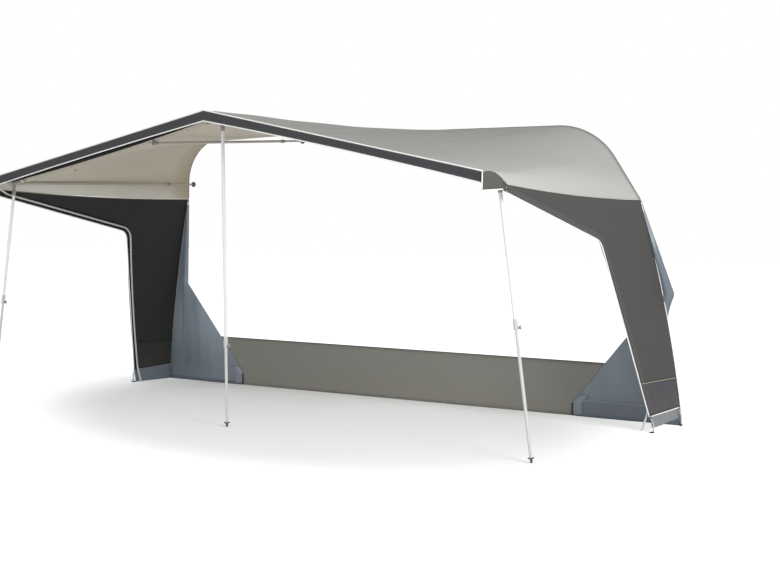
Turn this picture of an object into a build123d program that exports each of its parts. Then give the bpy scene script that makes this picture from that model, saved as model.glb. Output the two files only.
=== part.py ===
from build123d import *
import os
from dataclasses import dataclass
from math import atan2, cos, pi, radians, sin, tan

# Sizes are in millimetres and degrees. The awning is laid out from the wall that it hangs on: the
# wall is the plane Y = 0, the ground is Z = 0, the gable's apex is at X = 0 and the front faces -Y.
# At the end everything moves so that the origin is the middle of the footprint, on the ground.

# Clearance between pieces that lie on or beside each other
SEAT_GAP = 0.1

# Roof and gable
AWNING_DEPTH = 2500
RAIL_TOP = 2405
GABLE_APEX = 2359
GABLE_CORNER_Z = 1885
GABLE_HALF_WIDTH = 2285
FOLD_WIDTH = 835
FOLD_START_X = GABLE_HALF_WIDTH - FOLD_WIDTH
HOOD_CORNER_SPREAD = 80
HOOD_CORNER_SETBACK = 200
HOOD_CORNER_DROP = 73
HOOD_CORNER_X = GABLE_HALF_WIDTH + HOOD_CORNER_SPREAD
HOOD_CORNER_Y = HOOD_CORNER_SETBACK - AWNING_DEPTH
HOOD_CORNER_Z = GABLE_CORNER_Z - HOOD_CORNER_DROP
HOOD_CORNER_RISE = 36
ROOF_SAG = 24
CLOTH = 1.5
VALANCE_DROP = 68
CAP_SHARE = 0.82
CAP_FRONT_HEIGHT = 117
CAP_REAR_RISE = 15
CAP_BOTTOM_FRONT = GABLE_CORNER_Z - CAP_FRONT_HEIGHT
CAP_BOTTOM_REAR = CAP_BOTTOM_FRONT + CAP_REAR_RISE

# The rail's two ends: upright on the left, raked on the right
LEFT_RAIL_X = 2250
LEFT_RAIL_SLOPE = 90
LEFT_RAIL_RADIUS = 430
LEFT_SEAM_DROP = 595
LEFT_SEAM_Z = RAIL_TOP - LEFT_SEAM_DROP
LEFT_RAIL_FOOT_X = 2250
LEFT_RAIL_FOOT_Z = 980
RIGHT_RAIL_X = 2447
RIGHT_RAIL_SLOPE = 56.8
RIGHT_RAIL_RADIUS = 600
RIGHT_SEAM_DROP = 615
RIGHT_SEAM_Z = RAIL_TOP - RIGHT_SEAM_DROP
RIGHT_RAIL_FOOT_X = 2743
RIGHT_RAIL_FOOT_Z = 1043
BEAD_DIAMETER = 7.5
PIPING_RADIUS = 3

# Side wings
WING_CORNER_HEIGHT = 54
WING_CORNER_BOTTOM = HOOD_CORNER_Z - WING_CORNER_HEIGHT
SEAM_Z = 380
HEM_FRONT_Z = 125
HEM_REAR_Z = 150
LEFT_HEM_REAR_X = 2461
LEFT_HEM_FRONT_X = 2501
LEFT_HEM_FRONT_Y = -500
LEFT_WING_BULGE = 25
LEFT_ELBOW_Y = -775
LEFT_ELBOW_Z = 1475
RIGHT_HEM_REAR_X = 2821
RIGHT_HEM_FRONT_X = 2745
RIGHT_HEM_FRONT_Y = -530
RIGHT_WING_BULGE = 34
RIGHT_ELBOW_Y = -960
RIGHT_ELBOW_Z = 1459
ELBOW_RADIUS = 110
EDGE_BOW_RADIUS = 4000
RIGHT_FLAP_LIFT = 28

# Draught flaps against the wall, and the skirt under the wall
FLAP_TOP_GAP = 60
LEFT_FLAP_END_X = 1538
LEFT_FLAP_END_Z = 125
RIGHT_FLAP_END_X = 1901
RIGHT_FLAP_END_Z = 110
SKIRT_HEIGHT = 450
SKIRT_LEFT_X = 1950
SKIRT_RIGHT_X = 2300

# Front bars, canopy bar and their joints
BAR_RADIUS = 14
APEX_BAR_SETBACK = 223
APEX_BAR_DROP = 24
CORNER_BAR_INSET = 18
CORNER_BAR_SETBACK = 274
CORNER_BAR_DROP = 20
APEX_BAR_Y = APEX_BAR_SETBACK - AWNING_DEPTH
APEX_BAR_Z = GABLE_APEX - APEX_BAR_DROP
CORNER_BAR_X = GABLE_HALF_WIDTH - CORNER_BAR_INSET
CORNER_BAR_Y = CORNER_BAR_SETBACK - AWNING_DEPTH
CORNER_BAR_Z = GABLE_CORNER_Z - CORNER_BAR_DROP
JOINT_WALL = 3.5
JOINT_SLEEVE = 85
JOINT_CORE = 15
JOINT_RADIUS = BAR_RADIUS + JOINT_WALL
CANOPY_BAR_RADIUS = 10
CANOPY_BAR_DROP = 17
CANOPY_BAR_END_GAP = 23
CANOPY_BAR_REACH = GABLE_HALF_WIDTH - CANOPY_BAR_END_GAP
ARM_RADIUS = 5
ARM_RING_WIDTH = 16
ARM_RING_WALL = 3.5
CANOPY_BAR_SETBACK = CLOTH + CANOPY_BAR_RADIUS + ARM_RING_WALL + SEAT_GAP
APEX_ARM_X = 120
MIDDLE_ARM_X = 1150
CORNER_ARM_INSET = 122
ARM_X = (APEX_ARM_X, MIDDLE_ARM_X, CANOPY_BAR_REACH - CORNER_ARM_INSET)

# Uprights
UPRIGHT_OFFSET = 10
UPRIGHT_SPLAY = 261
SIDE_FOOT_SETBACK = 10
MIDDLE_FOOT_SETBACK = 87
UPRIGHT_SPREAD = CORNER_BAR_X + UPRIGHT_OFFSET
UPRIGHT_FOOT_SPREAD = UPRIGHT_SPREAD + UPRIGHT_SPLAY
SIDE_FOOT_Y = CORNER_BAR_Y + SIDE_FOOT_SETBACK
MIDDLE_FOOT_Y = APEX_BAR_Y + MIDDLE_FOOT_SETBACK
PIVOT_DROP = 70
UPPER_TUBE_RADIUS = 12.5
UPPER_TUBE_BORE = 11.1
LOWER_TUBE_RADIUS = 11
LOWER_TUBE_BORE = 9.6
LOWER_TUBE_ENGAGED = 300
LEFT_CLAMP_Z = 870
MIDDLE_CLAMP_Z = 635
RIGHT_CLAMP_Z = 890
LUG_THICKNESS = 10
LUG_RADIUS = 12
EAR_THICKNESS = 5
HINGE_PLAY = 0.3
PIN_RADIUS = 4
PIN_PLAY = 0.08
HEAD_BASE = 18
SPIGOT = 40
CLAMP_RADIUS = 16.5
CLAMP_GRIP = 44
CLAMP_THROAT = 26
CLAMP_BOSS_RADIUS = 7.5
CLAMP_BOSS_REACH = 23
SCREW_RADIUS = 3
SCREW_PLAY = 0.08
KNOB_RADIUS = 9
KNOB_LOBE_RADIUS = 5.5
KNOB_THICKNESS = 12
FOOT_FLANGE_RADIUS = 22
FOOT_FLANGE = 6
FOOT_TIP_RADIUS = 9
FOOT_STUB = 20

# Roof poles, from the front bar back to pads on the wall
END_POLE_WALL_Z = 1953
END_POLE_RAIL_GAP = 60
INNER_POLE_FRONT_X = 690
INNER_POLE_WALL_X = 870
INNER_POLE_RAIL_GAP = 57
INNER_POLE_WALL_Z = RAIL_TOP - INNER_POLE_RAIL_GAP
INNER_POLE_DROP = 34
POLE_RADIUS = 11
POLE_BORE = 9.6
POLE_INNER_RADIUS = 9.5
POLE_INNER_BORE = 8
POLE_SOCKET_WALL = 3.5
POLE_SOCKET = 50
POLE_INNER_OUT = 340
POLE_ENGAGED = 320
CUFF_RADIUS = 15
CUFF_LENGTH = 42
PAD_RADIUS = 26
PAD_THICKNESS = 6
PAD_HUB_RADIUS = 11
PAD_HUB = 16
KNUCKLE_RADIUS = 7
KNUCKLE_HALF = 8
KNUCKLE_PLAY = 0.1
KNUCKLE_NECK_RADIUS = 3.5
POLE_END_PLUG = 30

# Bent tubes inside the wings' front edges, and the rubber loops at the ground
WING_TUBE_RADIUS = 8
WING_TUBE_INSET = 26
WING_TUBE_STANDOFF = 8.5
WING_TUBE_TOP_BEND = 120
WING_TUBE_FOOT_BEND = 70
WING_TUBE_FOOT_TURN = 45
WING_TUBE_FOOT_TOP = 150
CLIP_ARM_RADIUS = 6
CLIP_WIDTH = 22
CLIP_WALL = 3
LOOP_RING_RADIUS = 16
LOOP_CORD_RADIUS = 4


@dataclass
class Flank:
    """One end of the awning, with distances measured outwards from the middle."""

    name: str
    sign: int
    rail_x: float
    rail_slope: float
    rail_radius: float
    seam_z: float
    rail_foot_x: float
    rail_foot_z: float
    hem_rear_x: float
    hem_front_x: float
    hem_front_y: float
    bulge: float
    elbow_y: float
    elbow_z: float
    flap_lift: float

    def at(self, x, y, z):
        """A point with x measured outwards on this side."""
        return Vector(self.sign * x, y, z)

    def top_corner_x(self):
        """Where the rail's level run would meet the line of its raked end."""
        return self.rail_x - (RAIL_TOP - self.seam_z) / tan(radians(self.rail_slope))

    def arc_start_x(self):
        """Where the rail's level run turns into its bend."""
        return self.top_corner_x() - self.rail_radius * tan(radians(self.rail_slope) / 2)

    def arc_point(self, share, y):
        """A point on the rail's bend, from its level end to its raked end."""
        angle = radians(self.rail_slope) * share
        x = self.arc_start_x() + self.rail_radius * sin(angle)
        return self.at(x, y, RAIL_TOP - self.rail_radius * (1 - cos(angle)))

    def rail_line_x(self, z):
        """How far out the rail stands at a height below the roof's seam."""
        return self.rail_x + (self.rail_foot_x - self.rail_x) * (self.seam_z - z) / (self.seam_z - self.rail_foot_z)

    def wing_rear_x(self, z):
        """How far out the wing's rear edge stands at a height."""
        share = (self.seam_z - z) / (self.seam_z - HEM_REAR_Z)
        straight = self.rail_x + (self.hem_rear_x - self.rail_x) * share
        return straight + self.bulge * 4 * share * (1 - share)

    def wing_x(self, y, z):
        """How far out the wing's cloth stands at a depth and a height."""
        share = (self.seam_z - z) / (self.seam_z - HEM_REAR_Z)
        toe_top = (HOOD_CORNER_X - self.rail_x) / HOOD_CORNER_Y
        toe_hem = (self.hem_front_x - self.hem_rear_x) / self.hem_front_y
        return self.wing_rear_x(z) + (toe_top + (toe_hem - toe_top) * share) * y

    def wing_point(self, y, z, inset=0):
        return self.at(self.wing_x(y, z) - inset, y, z)

    def wing_normal(self, y, z):
        """The direction that a wing's cloth faces, outwards."""
        step = 10
        across = self.wing_point(y + step, z) - self.wing_point(y, z)
        up = self.wing_point(y, z + step) - self.wing_point(y, z)
        return across.cross(up).normalized() * self.sign

    def seam_sag_z(self, share):
        """The height of the seam between roof and wing, from the wall to the hood's corner."""
        straight = self.seam_z + (HOOD_CORNER_Z - self.seam_z) * share
        return straight - ROOF_SAG * 4 * share * (1 - share)


LEFT = Flank("left", -1, LEFT_RAIL_X, LEFT_RAIL_SLOPE, LEFT_RAIL_RADIUS, LEFT_SEAM_Z,
             LEFT_RAIL_FOOT_X, LEFT_RAIL_FOOT_Z, LEFT_HEM_REAR_X, LEFT_HEM_FRONT_X,
             LEFT_HEM_FRONT_Y, LEFT_WING_BULGE, LEFT_ELBOW_Y, LEFT_ELBOW_Z, 0)
RIGHT = Flank("right", 1, RIGHT_RAIL_X, RIGHT_RAIL_SLOPE, RIGHT_RAIL_RADIUS, RIGHT_SEAM_Z,
              RIGHT_RAIL_FOOT_X, RIGHT_RAIL_FOOT_Z, RIGHT_HEM_REAR_X, RIGHT_HEM_FRONT_X,
              RIGHT_HEM_FRONT_Y, RIGHT_WING_BULGE, RIGHT_ELBOW_Y, RIGHT_ELBOW_Z, RIGHT_FLAP_LIFT)
SIDES = (LEFT, RIGHT)

# The skirt hangs from its bead, the draught flaps lie over both beads, and the wings end on them
BEAD_RADIUS = BEAD_DIAMETER / 2
SKIRT_BACK_Y = -BEAD_RADIUS + CLOTH / 2
FLAP_BACK_Y = -BEAD_DIAMETER - SEAT_GAP
WING_REAR_Y = FLAP_BACK_Y - CLOTH - SEAT_GAP
SEAM_STEPS = 8

parts = {}


def frame_along(start, end):
    """A plane at start whose normal points to end."""
    return Plane(origin=start, z_dir=Vector(end) - Vector(start))


def rod(start, end, radius):
    length = (Vector(end) - Vector(start)).length
    body = Cylinder(radius, length, align=(Align.CENTER, Align.CENTER, Align.MIN))
    return frame_along(start, end) * body


def tube(start, end, outer, bore):
    return rod(start, end, outer) - rod(start, end, bore)


def local_rod(radius, start, end):
    """A round bar up the local Z axis from start to end."""
    body = Cylinder(radius, end - start, align=(Align.CENTER, Align.CENTER, Align.MIN))
    return Pos(0, 0, start) * body


def along_y(radius, start, end):
    """A round bar along the local Y axis from start to end."""
    return Rot(-90, 0, 0) * local_rod(radius, start, end)


def along_x(radius, start, end):
    """A round bar along the local X axis from start to end."""
    return Rot(0, 90, 0) * local_rod(radius, start, end)


def swept(points, radii, radius):
    """A round bar along straight runs whose corners are arcs."""
    path = FilletPolyline(*points, radius=radii)
    section = Plane(origin=path @ 0, z_dir=path % 0) * Circle(radius)
    return sweep(section, path=path)


def cloth_panel(rows, towards):
    """A sheet whose outer face passes through rows of points, with its thickness towards a side."""
    face = Face.make_surface_from_array_of_points(rows, tol=0.02)
    return Solid.thicken(face, CLOTH, normal_override=towards)


def gable_z(x):
    """The height of the roof's front edge at a distance from the apex."""
    return GABLE_APEX - (GABLE_APEX - GABLE_CORNER_Z) * abs(x) / GABLE_HALF_WIDTH


def roof_panel(rail_points, front_points, towards):
    """One roof panel, ruled from the rail to the front edge with a slight sag between them."""
    rows = []
    for step in range(SEAM_STEPS + 1):
        share = step / SEAM_STEPS
        sag = Vector(0, 0, ROOF_SAG * 4 * share * (1 - share))
        pairs = zip(rail_points, front_points)
        rows.append([rail + (front - rail) * share - sag for rail, front in pairs])
    return cloth_panel(rows, towards)


def shares(count):
    return [step / count for step in range(count + 1)]


def hood_corner(side, share):
    """A point on the roof's edge where it turns round the hood's corner, humped between its ends."""
    front = side.at(GABLE_HALF_WIDTH, -AWNING_DEPTH, GABLE_CORNER_Z)
    rear = side.at(HOOD_CORNER_X, HOOD_CORNER_Y, HOOD_CORNER_Z)
    return front + (rear - front) * share + Vector(0, 0, HOOD_CORNER_RISE * sin(pi * share))


def roof_half(side):
    """A level panel, a panel that fans round the rail's bend, and one down to the wing's seam."""
    rail_y = -BEAD_DIAMETER - SEAT_GAP
    ridge_x = CLOTH * (GABLE_APEX - GABLE_CORNER_Z) / GABLE_HALF_WIDTH + SEAT_GAP
    main_rail_x = [ridge_x + (side.arc_start_x() - ridge_x) * t for t in shares(4)]
    main_rail = [side.at(x, rail_y, RAIL_TOP) for x in main_rail_x]
    main_front_x = [ridge_x + (FOLD_START_X - ridge_x) * t for t in shares(4)]
    main_front = [side.at(x, -AWNING_DEPTH, gable_z(x)) for x in main_front_x]
    fan_rail = [side.arc_point(t, rail_y) for t in shares(8)]
    fan_front_x = [FOLD_START_X + (GABLE_HALF_WIDTH - FOLD_START_X) * t for t in shares(8)]
    fan_front = [side.at(x, -AWNING_DEPTH, gable_z(x)) for x in fan_front_x]
    bend_end = side.arc_point(1, rail_y)
    rail_end = side.at(side.rail_x, rail_y, side.seam_z)
    end_rail = [bend_end + (rail_end - bend_end) * t for t in shares(8)]
    end_front = [hood_corner(side, t) for t in shares(8)]
    inwards = (-side.sign, 0, -1)
    return [
        roof_panel(main_rail, main_front, (0, 0, -1)),
        roof_panel(fan_rail, fan_front, inwards),
        roof_panel(end_rail, end_front, inwards),
    ]


def upright_plate(corners, y_back):
    """A flat sheet facing the front, from corners given as X and Z."""
    outline = make_face(Polyline(*[Vector(x, y_back, z) for x, z in corners], close=True))
    return extrude(outline, amount=CLOTH, dir=(0, -1, 0))


def valance(side):
    """The strip that hangs from the gable's front edge."""
    tuck = CLOTH * 1.1
    outer_x = side.sign * GABLE_HALF_WIDTH
    corners = [
        (0, GABLE_APEX - tuck),
        (outer_x, GABLE_CORNER_Z - tuck),
        (outer_x, GABLE_CORNER_Z - tuck - VALANCE_DROP),
        (0, GABLE_APEX - tuck - VALANCE_DROP),
    ]
    return upright_plate(corners, -AWNING_DEPTH + CLOTH)


def cap_bottom(side, share):
    """A point on the cap's bottom edge."""
    height = CAP_BOTTOM_FRONT + (CAP_BOTTOM_REAR - CAP_BOTTOM_FRONT) * share / CAP_SHARE
    edge = hood_corner(side, share)
    return Vector(edge.X, edge.Y, height) + side.at(CLOTH, 0, 0)


def corner_cap(side):
    """The cloth that turns round the hood's corner, from the valance towards the wing."""
    tuck = Vector(0, 0, CLOTH * 1.6)
    top = [hood_corner(side, CAP_SHARE * t) + side.at(CLOTH, 0, 0) - tuck for t in shares(6)]
    low_front, low_rear = cap_bottom(side, 0), cap_bottom(side, CAP_SHARE)
    outline = [Spline(*top), Polyline(top[-1], low_rear, low_front, top[0])]
    inwards = (low_rear - low_front).cross(Vector(0, 0, side.sign)).normalized()
    return extrude(make_face(outline), amount=CLOTH, dir=-inwards)


def front_piping(side):
    """White edging along the valance's top and bottom and round the cap's front and bottom."""
    y = -AWNING_DEPTH + CLOTH / 2
    slope = atan2(GABLE_APEX - GABLE_CORNER_Z, GABLE_HALF_WIDTH)
    beside = (PIPING_RADIUS + SEAT_GAP) / cos(slope)
    low = VALANCE_DROP + CLOTH * 1.1 + beside
    end_x = GABLE_HALF_WIDTH - 2 * PIPING_RADIUS
    middle = PIPING_RADIUS * sin(slope) + SEAT_GAP
    bottom = rod(side.at(middle, y, gable_z(middle) - low), side.at(end_x, y, gable_z(end_x) - low), PIPING_RADIUS)
    top = rod(side.at(middle, y, gable_z(middle) + beside), side.at(end_x, y, gable_z(end_x) + beside),
              PIPING_RADIUS)
    low_front, low_rear = cap_bottom(side, 0), cap_bottom(side, CAP_SHARE)
    ahead = Vector(0, -PIPING_RADIUS - SEAT_GAP, 0)
    below = Vector(0, 0, -PIPING_RADIUS - 2 * SEAT_GAP)
    standing = rod(low_front + ahead + below, side.at(GABLE_HALF_WIDTH + CLOTH, 0, GABLE_CORNER_Z) + ahead
                   - Vector(0, AWNING_DEPTH, 0), PIPING_RADIUS)
    along = (low_rear - low_front).normalized() * (2 * PIPING_RADIUS)
    cap_low = rod(low_front + below + along, low_rear + below, PIPING_RADIUS)
    return [bottom, top, standing, cap_low]


def rail_bead():
    """The round bead along the cloth's rear edge, in three lengths that slide into the rail."""
    y = -BEAD_RADIUS
    start = LEFT.at(LEFT.rail_x, y, LEFT.seam_z)
    left_top = LEFT.at(LEFT.top_corner_x(), y, RAIL_TOP)
    right_top = RIGHT.at(RIGHT.top_corner_x(), y, RAIL_TOP)
    end = RIGHT.at(RIGHT.rail_x, y, RIGHT.seam_z)
    radii = [LEFT.rail_radius, RIGHT.rail_radius]
    beads = [swept([start, left_top, right_top, end], radii, BEAD_RADIUS)]
    for side in SIDES:
        top = side.at(side.rail_x, y, side.seam_z)
        foot = side.at(side.rail_foot_x, y, side.rail_foot_z)
        clear = (foot - top).normalized() * BEAD_DIAMETER
        beads.append(rod(top + clear, foot, BEAD_RADIUS))
    return beads


def wing_sheet(side):
    """The cloth of a wing before it is cut, a gently twisted sheet from the seam to the ground."""
    rows = []
    for y_share in shares(4):
        y = (HOOD_CORNER_Y - 20) * y_share
        rows.append([side.wing_point(y, -10 + (side.seam_z + 60) * z_share) for z_share in shares(8)])
    return cloth_panel(rows, (-side.sign, 0, 0))


def front_edge_y(side, z):
    """Where the front edge of a wing's leg lies at a height below its elbow."""
    share = (side.elbow_z - z) / (side.elbow_z - HEM_FRONT_Z)
    return side.elbow_y + (side.hem_front_y - side.elbow_y) * share


def side_cut(side, edges):
    """A block whose section, seen from the side, is the outline given in Y and Z."""
    outline = Plane.YZ.offset(side.sign * GABLE_HALF_WIDTH / 2) * make_face(edges)
    return extrude(outline, amount=AWNING_DEPTH, dir=(side.sign, 0, 0))


def wing_pieces(side):
    """The wing's dark upper cloth, its dark foot panel and its mud flap, cut from one sheet."""
    sheet = wing_sheet(side)
    rear = WING_REAR_Y
    gap = 0.15
    seam_front = front_edge_y(side, SEAM_Z)
    roof_gap = CLOTH
    seam_points = [(HOOD_CORNER_Y * t, side.seam_sag_z(t) - roof_gap) for t in (1, 0.5, -rear / -HOOD_CORNER_Y)]
    top = ThreePointArc(*seam_points)
    down = [seam_points[0], (HOOD_CORNER_Y, WING_CORNER_BOTTOM), (side.elbow_y, side.elbow_z),
            (seam_front, SEAM_Z + gap), (rear, SEAM_Z + gap), seam_points[2]]
    rest = FilletPolyline(*down, radius=[0, ELBOW_RADIUS, 0, 0])
    upper = sheet & side_cut(side, [top, rest])
    foot_corners = [(seam_front, SEAM_Z), (side.hem_front_y, HEM_FRONT_Z), (rear, HEM_REAR_Z), (rear, SEAM_Z)]
    foot = sheet & side_cut(side, Polyline(*foot_corners, close=True))
    flap_corners = [(side.hem_front_y, HEM_FRONT_Z - gap), (front_edge_y(side, 0), 0),
                    (rear, side.flap_lift), (rear, HEM_REAR_Z - gap)]
    flap = sheet & side_cut(side, Polyline(*flap_corners, close=True))
    return upper, foot, flap


def edge_corners(side, inset, bottom_z):
    """The corners of a wing's front edge, moved into the cloth by an inset, as Y and Z."""
    top = Vector(HOOD_CORNER_Y, WING_CORNER_BOTTOM)
    elbow = Vector(side.elbow_y, side.elbow_z)
    foot = Vector(front_edge_y(side, bottom_z), bottom_z)
    above = (elbow - top).rotate(Axis.Z, 90).normalized() * inset
    behind = (foot - elbow).rotate(Axis.Z, 90).normalized() * inset
    turn = 1 + above.dot(behind) / inset**2
    return top + above, elbow + (above + behind) / turn, foot + behind


def edge_route(side, inset, clear, bottom_z):
    """Points down a wing's front edge: its start, its elbow, three on the bowed leg and its end."""
    start, elbow, foot = edge_corners(side, inset, bottom_z)
    stops = [start, elbow] + [elbow + (foot - elbow) * share for share in (0.25, 0.5, 0.75, 1)]
    return [side.wing_point(stop.X, stop.Y, clear) for stop in stops]


def edge_radii(inset):
    return [ELBOW_RADIUS + inset] + [EDGE_BOW_RADIUS] * 3


def wing_piping(side):
    """White edging down a wing's front edge and along its hem."""
    inset = -PIPING_RADIUS - 5 * SEAT_GAP
    front = swept(edge_route(side, inset, CLOTH / 2, HEM_FRONT_Z), edge_radii(inset), PIPING_RADIUS)
    proud = -PIPING_RADIUS * 1.1 - SEAT_GAP
    start = side.wing_point(side.hem_front_y + 2 * PIPING_RADIUS, HEM_FRONT_Z, proud)
    end = side.wing_point(WING_REAR_Y - PIPING_RADIUS, HEM_REAR_Z, proud)
    return [front, rod(start, end, PIPING_RADIUS)]


def draught_flap(side, end_x, end_z):
    """Soft plastic against the wall, under the bead and the wing's rear edge, with a slanted inner edge."""
    top = side.seam_z - FLAP_TOP_GAP
    foot = side.rail_foot_z - BEAD_DIAMETER
    heights = (foot, (2 * foot + top) / 3, (foot + 2 * top) / 3, top)
    outline = [(side.wing_rear_x(z), z) for z in (0, foot * 0.4)]
    outline += [(max(side.wing_rear_x(z), side.rail_line_x(z) + BEAD_RADIUS), z) for z in heights]
    inner = [(min(side.wing_rear_x(z) - BEAD_DIAMETER, side.rail_line_x(z) - BEAD_RADIUS), z) for z in heights]
    outline += inner[::-1] + [(end_x, end_z), (end_x, 0)]
    return upright_plate([(side.sign * x, z) for x, z in outline], FLAP_BACK_Y)


def skirt_bead():
    """The bead along the skirt's top edge."""
    z = SKIRT_HEIGHT + BEAD_RADIUS
    return rod((-SKIRT_LEFT_X, -BEAD_RADIUS, z), (SKIRT_RIGHT_X, -BEAD_RADIUS, z), BEAD_RADIUS)


def bar_point(side, x):
    """The axis of the front bar at a distance from the apex."""
    share = x / CORNER_BAR_X
    y = APEX_BAR_Y + (CORNER_BAR_Y - APEX_BAR_Y) * share
    return side.at(x, y, APEX_BAR_Z + (CORNER_BAR_Z - APEX_BAR_Z) * share)


def canopy_point(side, x):
    """The axis of the canopy bar, just behind the valance, at a distance from the apex."""
    return side.at(x, -AWNING_DEPTH + CANOPY_BAR_SETBACK, gable_z(x) - CANOPY_BAR_DROP)


def front_bar(side):
    return tube(bar_point(side, JOINT_CORE), bar_point(side, CORNER_BAR_X), BAR_RADIUS, BAR_RADIUS - 1.5)


def canopy_bar():
    """One bar, bent at the apex, that carries the hood's front edge."""
    halves = [rod(canopy_point(side, 0), canopy_point(side, CANOPY_BAR_REACH), CANOPY_BAR_RADIUS) for side in SIDES]
    elbow = Pos(*canopy_point(LEFT, 0)) * Sphere(CANOPY_BAR_RADIUS)
    return halves[0] + halves[1] + elbow


def ring_on(start, end, middle, radius, width, wall):
    """A ring round a bar that runs from start to end."""
    along = (Vector(end) - Vector(start)).normalized() * (width / 2)
    return rod(middle - along, middle + along, radius + wall)


def canopy_arm(side, x):
    """A strut that holds the canopy bar out in front of the front bar."""
    rear, front = bar_point(side, x), canopy_point(side, x)
    rear_line = (bar_point(side, 0), bar_point(side, CORNER_BAR_X))
    front_line = (canopy_point(side, 0), canopy_point(side, CANOPY_BAR_REACH))
    arm = rod(rear, front, ARM_RADIUS)
    arm += ring_on(*rear_line, rear, BAR_RADIUS, ARM_RING_WIDTH, ARM_RING_WALL)
    arm += ring_on(*front_line, front, CANOPY_BAR_RADIUS, ARM_RING_WIDTH, ARM_RING_WALL)
    return arm - rod(*rear_line, BAR_RADIUS) - rod(*front_line, CANOPY_BAR_RADIUS)


class Upright:
    """A two-part post that hangs from a lug.

    Its own frame has Z up the post, X along its pin and Y along its clamp's screw.
    """

    def __init__(self, name, top_x, top_y, top_z, foot_x, foot_y, clamp_z):
        self.name = name
        self.pivot = Vector(top_x, top_y, top_z)
        self.tip = Vector(foot_x, foot_y, FOOT_TIP_RADIUS)
        up = (self.pivot - self.tip).normalized()
        self.up = up
        self.pin_axis = Vector(1, 0, 0).cross(up).normalized()
        self.screw_axis = up.cross(self.pin_axis)
        self.frame = Plane(origin=self.pivot, x_dir=self.pin_axis, z_dir=up)
        self.length = (self.pivot - self.tip).length
        self.clamp_at = self.length * (top_z - clamp_z) / (top_z - FOOT_TIP_RADIUS)

    def lug(self, height):
        """The plate on the joint above, rounded about the pin."""
        plate = Pos(0, 0, height / 2) * Box(LUG_THICKNESS, 2 * LUG_RADIUS, height)
        plate += along_x(LUG_RADIUS, -LUG_THICKNESS / 2, LUG_THICKNESS / 2)
        return self.frame * plate

    def pin_half(self):
        return LUG_THICKNESS / 2 + HINGE_PLAY + EAR_THICKNESS

    def pin(self, grow=0):
        half = self.pin_half() + 1
        return self.frame * along_x(PIN_RADIUS + grow, -half, half)

    def hinge_pin(self):
        """The pin, with a small head at each end."""
        half = self.pin_half()
        pin = along_x(PIN_RADIUS, -half - HINGE_PLAY, half + HINGE_PLAY)
        for sign in (-1, 1):
            inner = sign * (half + HINGE_PLAY)
            pin += along_x(PIN_RADIUS * 1.6, min(inner, inner + sign * 2), max(inner, inner + sign * 2))
        return self.frame * pin

    def head(self):
        """A fork round the lug, a block below it and a spigot inside the upper tube."""
        base_top = -(LUG_RADIUS + 4)
        base_bottom = base_top - HEAD_BASE
        half = self.pin_half()
        head = Pos(0, 0, (base_top + base_bottom) / 2) * Box(2 * half, 2 * LUG_RADIUS, HEAD_BASE)
        for sign in (-1, 1):
            middle = sign * (half - EAR_THICKNESS / 2)
            head += Pos(middle, 0, base_top / 2) * Box(EAR_THICKNESS, 2 * LUG_RADIUS, -base_top)
            head += along_x(LUG_RADIUS, middle - EAR_THICKNESS / 2, middle + EAR_THICKNESS / 2)
        head += local_rod(UPPER_TUBE_BORE, base_bottom - SPIGOT, base_bottom)
        return self.frame * (head - along_x(PIN_RADIUS + PIN_PLAY, -2 * half, 2 * half))

    def upper_tube(self):
        top = -(LUG_RADIUS + 4) - HEAD_BASE
        wall = local_rod(UPPER_TUBE_RADIUS, -self.clamp_at, top) - local_rod(UPPER_TUBE_BORE, -self.clamp_at, top)
        return self.frame * wall

    def screw_z(self):
        return -self.clamp_at - CLAMP_THROAT / 2

    def clamp(self):
        """A collar on the upper tube's end, with a boss for the screw that grips the lower tube."""
        top = -self.clamp_at + CLAMP_GRIP
        bottom = -self.clamp_at - CLAMP_THROAT
        body = local_rod(CLAMP_RADIUS, bottom, top)
        body += Pos(0, 0, self.screw_z()) * along_y(CLAMP_BOSS_RADIUS, 0, CLAMP_BOSS_REACH)
        body -= local_rod(UPPER_TUBE_RADIUS, -self.clamp_at, top)
        body -= local_rod(LOWER_TUBE_RADIUS + 0.2, bottom, -self.clamp_at)
        body -= Pos(0, 0, self.screw_z()) * along_y(SCREW_RADIUS + SCREW_PLAY, 0, CLAMP_BOSS_REACH + 1)
        return self.frame * body

    def screw(self):
        """A lobed knob on a stem that reaches the lower tube."""
        inner = LOWER_TUBE_RADIUS + 0.3
        face = CLAMP_BOSS_REACH + 0.3
        screw = along_y(SCREW_RADIUS, inner, face + 1)
        screw += along_y(KNOB_RADIUS, face, face + KNOB_THICKNESS)
        for turn in range(3):
            angle = radians(120 * turn)
            place = Pos(KNOB_RADIUS * cos(angle), 0, KNOB_RADIUS * sin(angle))
            screw += place * along_y(KNOB_LOBE_RADIUS, face, face + KNOB_THICKNESS)
        return self.frame * (Pos(0, 0, self.screw_z()) * screw)

    def lower_tube(self):
        bottom = -self.length + FOOT_STUB + FOOT_FLANGE
        top = -self.clamp_at + LOWER_TUBE_ENGAGED
        wall = local_rod(LOWER_TUBE_RADIUS, bottom, top) - local_rod(LOWER_TUBE_BORE, bottom, top)
        return self.frame * wall

    def foot(self):
        """A round tip on the ground, a flange over it and a plug inside the lower tube."""
        tip = -self.length
        foot = Pos(0, 0, tip) * Sphere(FOOT_TIP_RADIUS)
        foot += local_rod(FOOT_TIP_RADIUS, tip, tip + FOOT_STUB)
        flange_top = tip + FOOT_STUB + FOOT_FLANGE
        foot += local_rod(FOOT_FLANGE_RADIUS, tip + FOOT_STUB, flange_top)
        foot += local_rod(LOWER_TUBE_BORE, flange_top, flange_top + SPIGOT)
        return self.frame * foot


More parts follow.
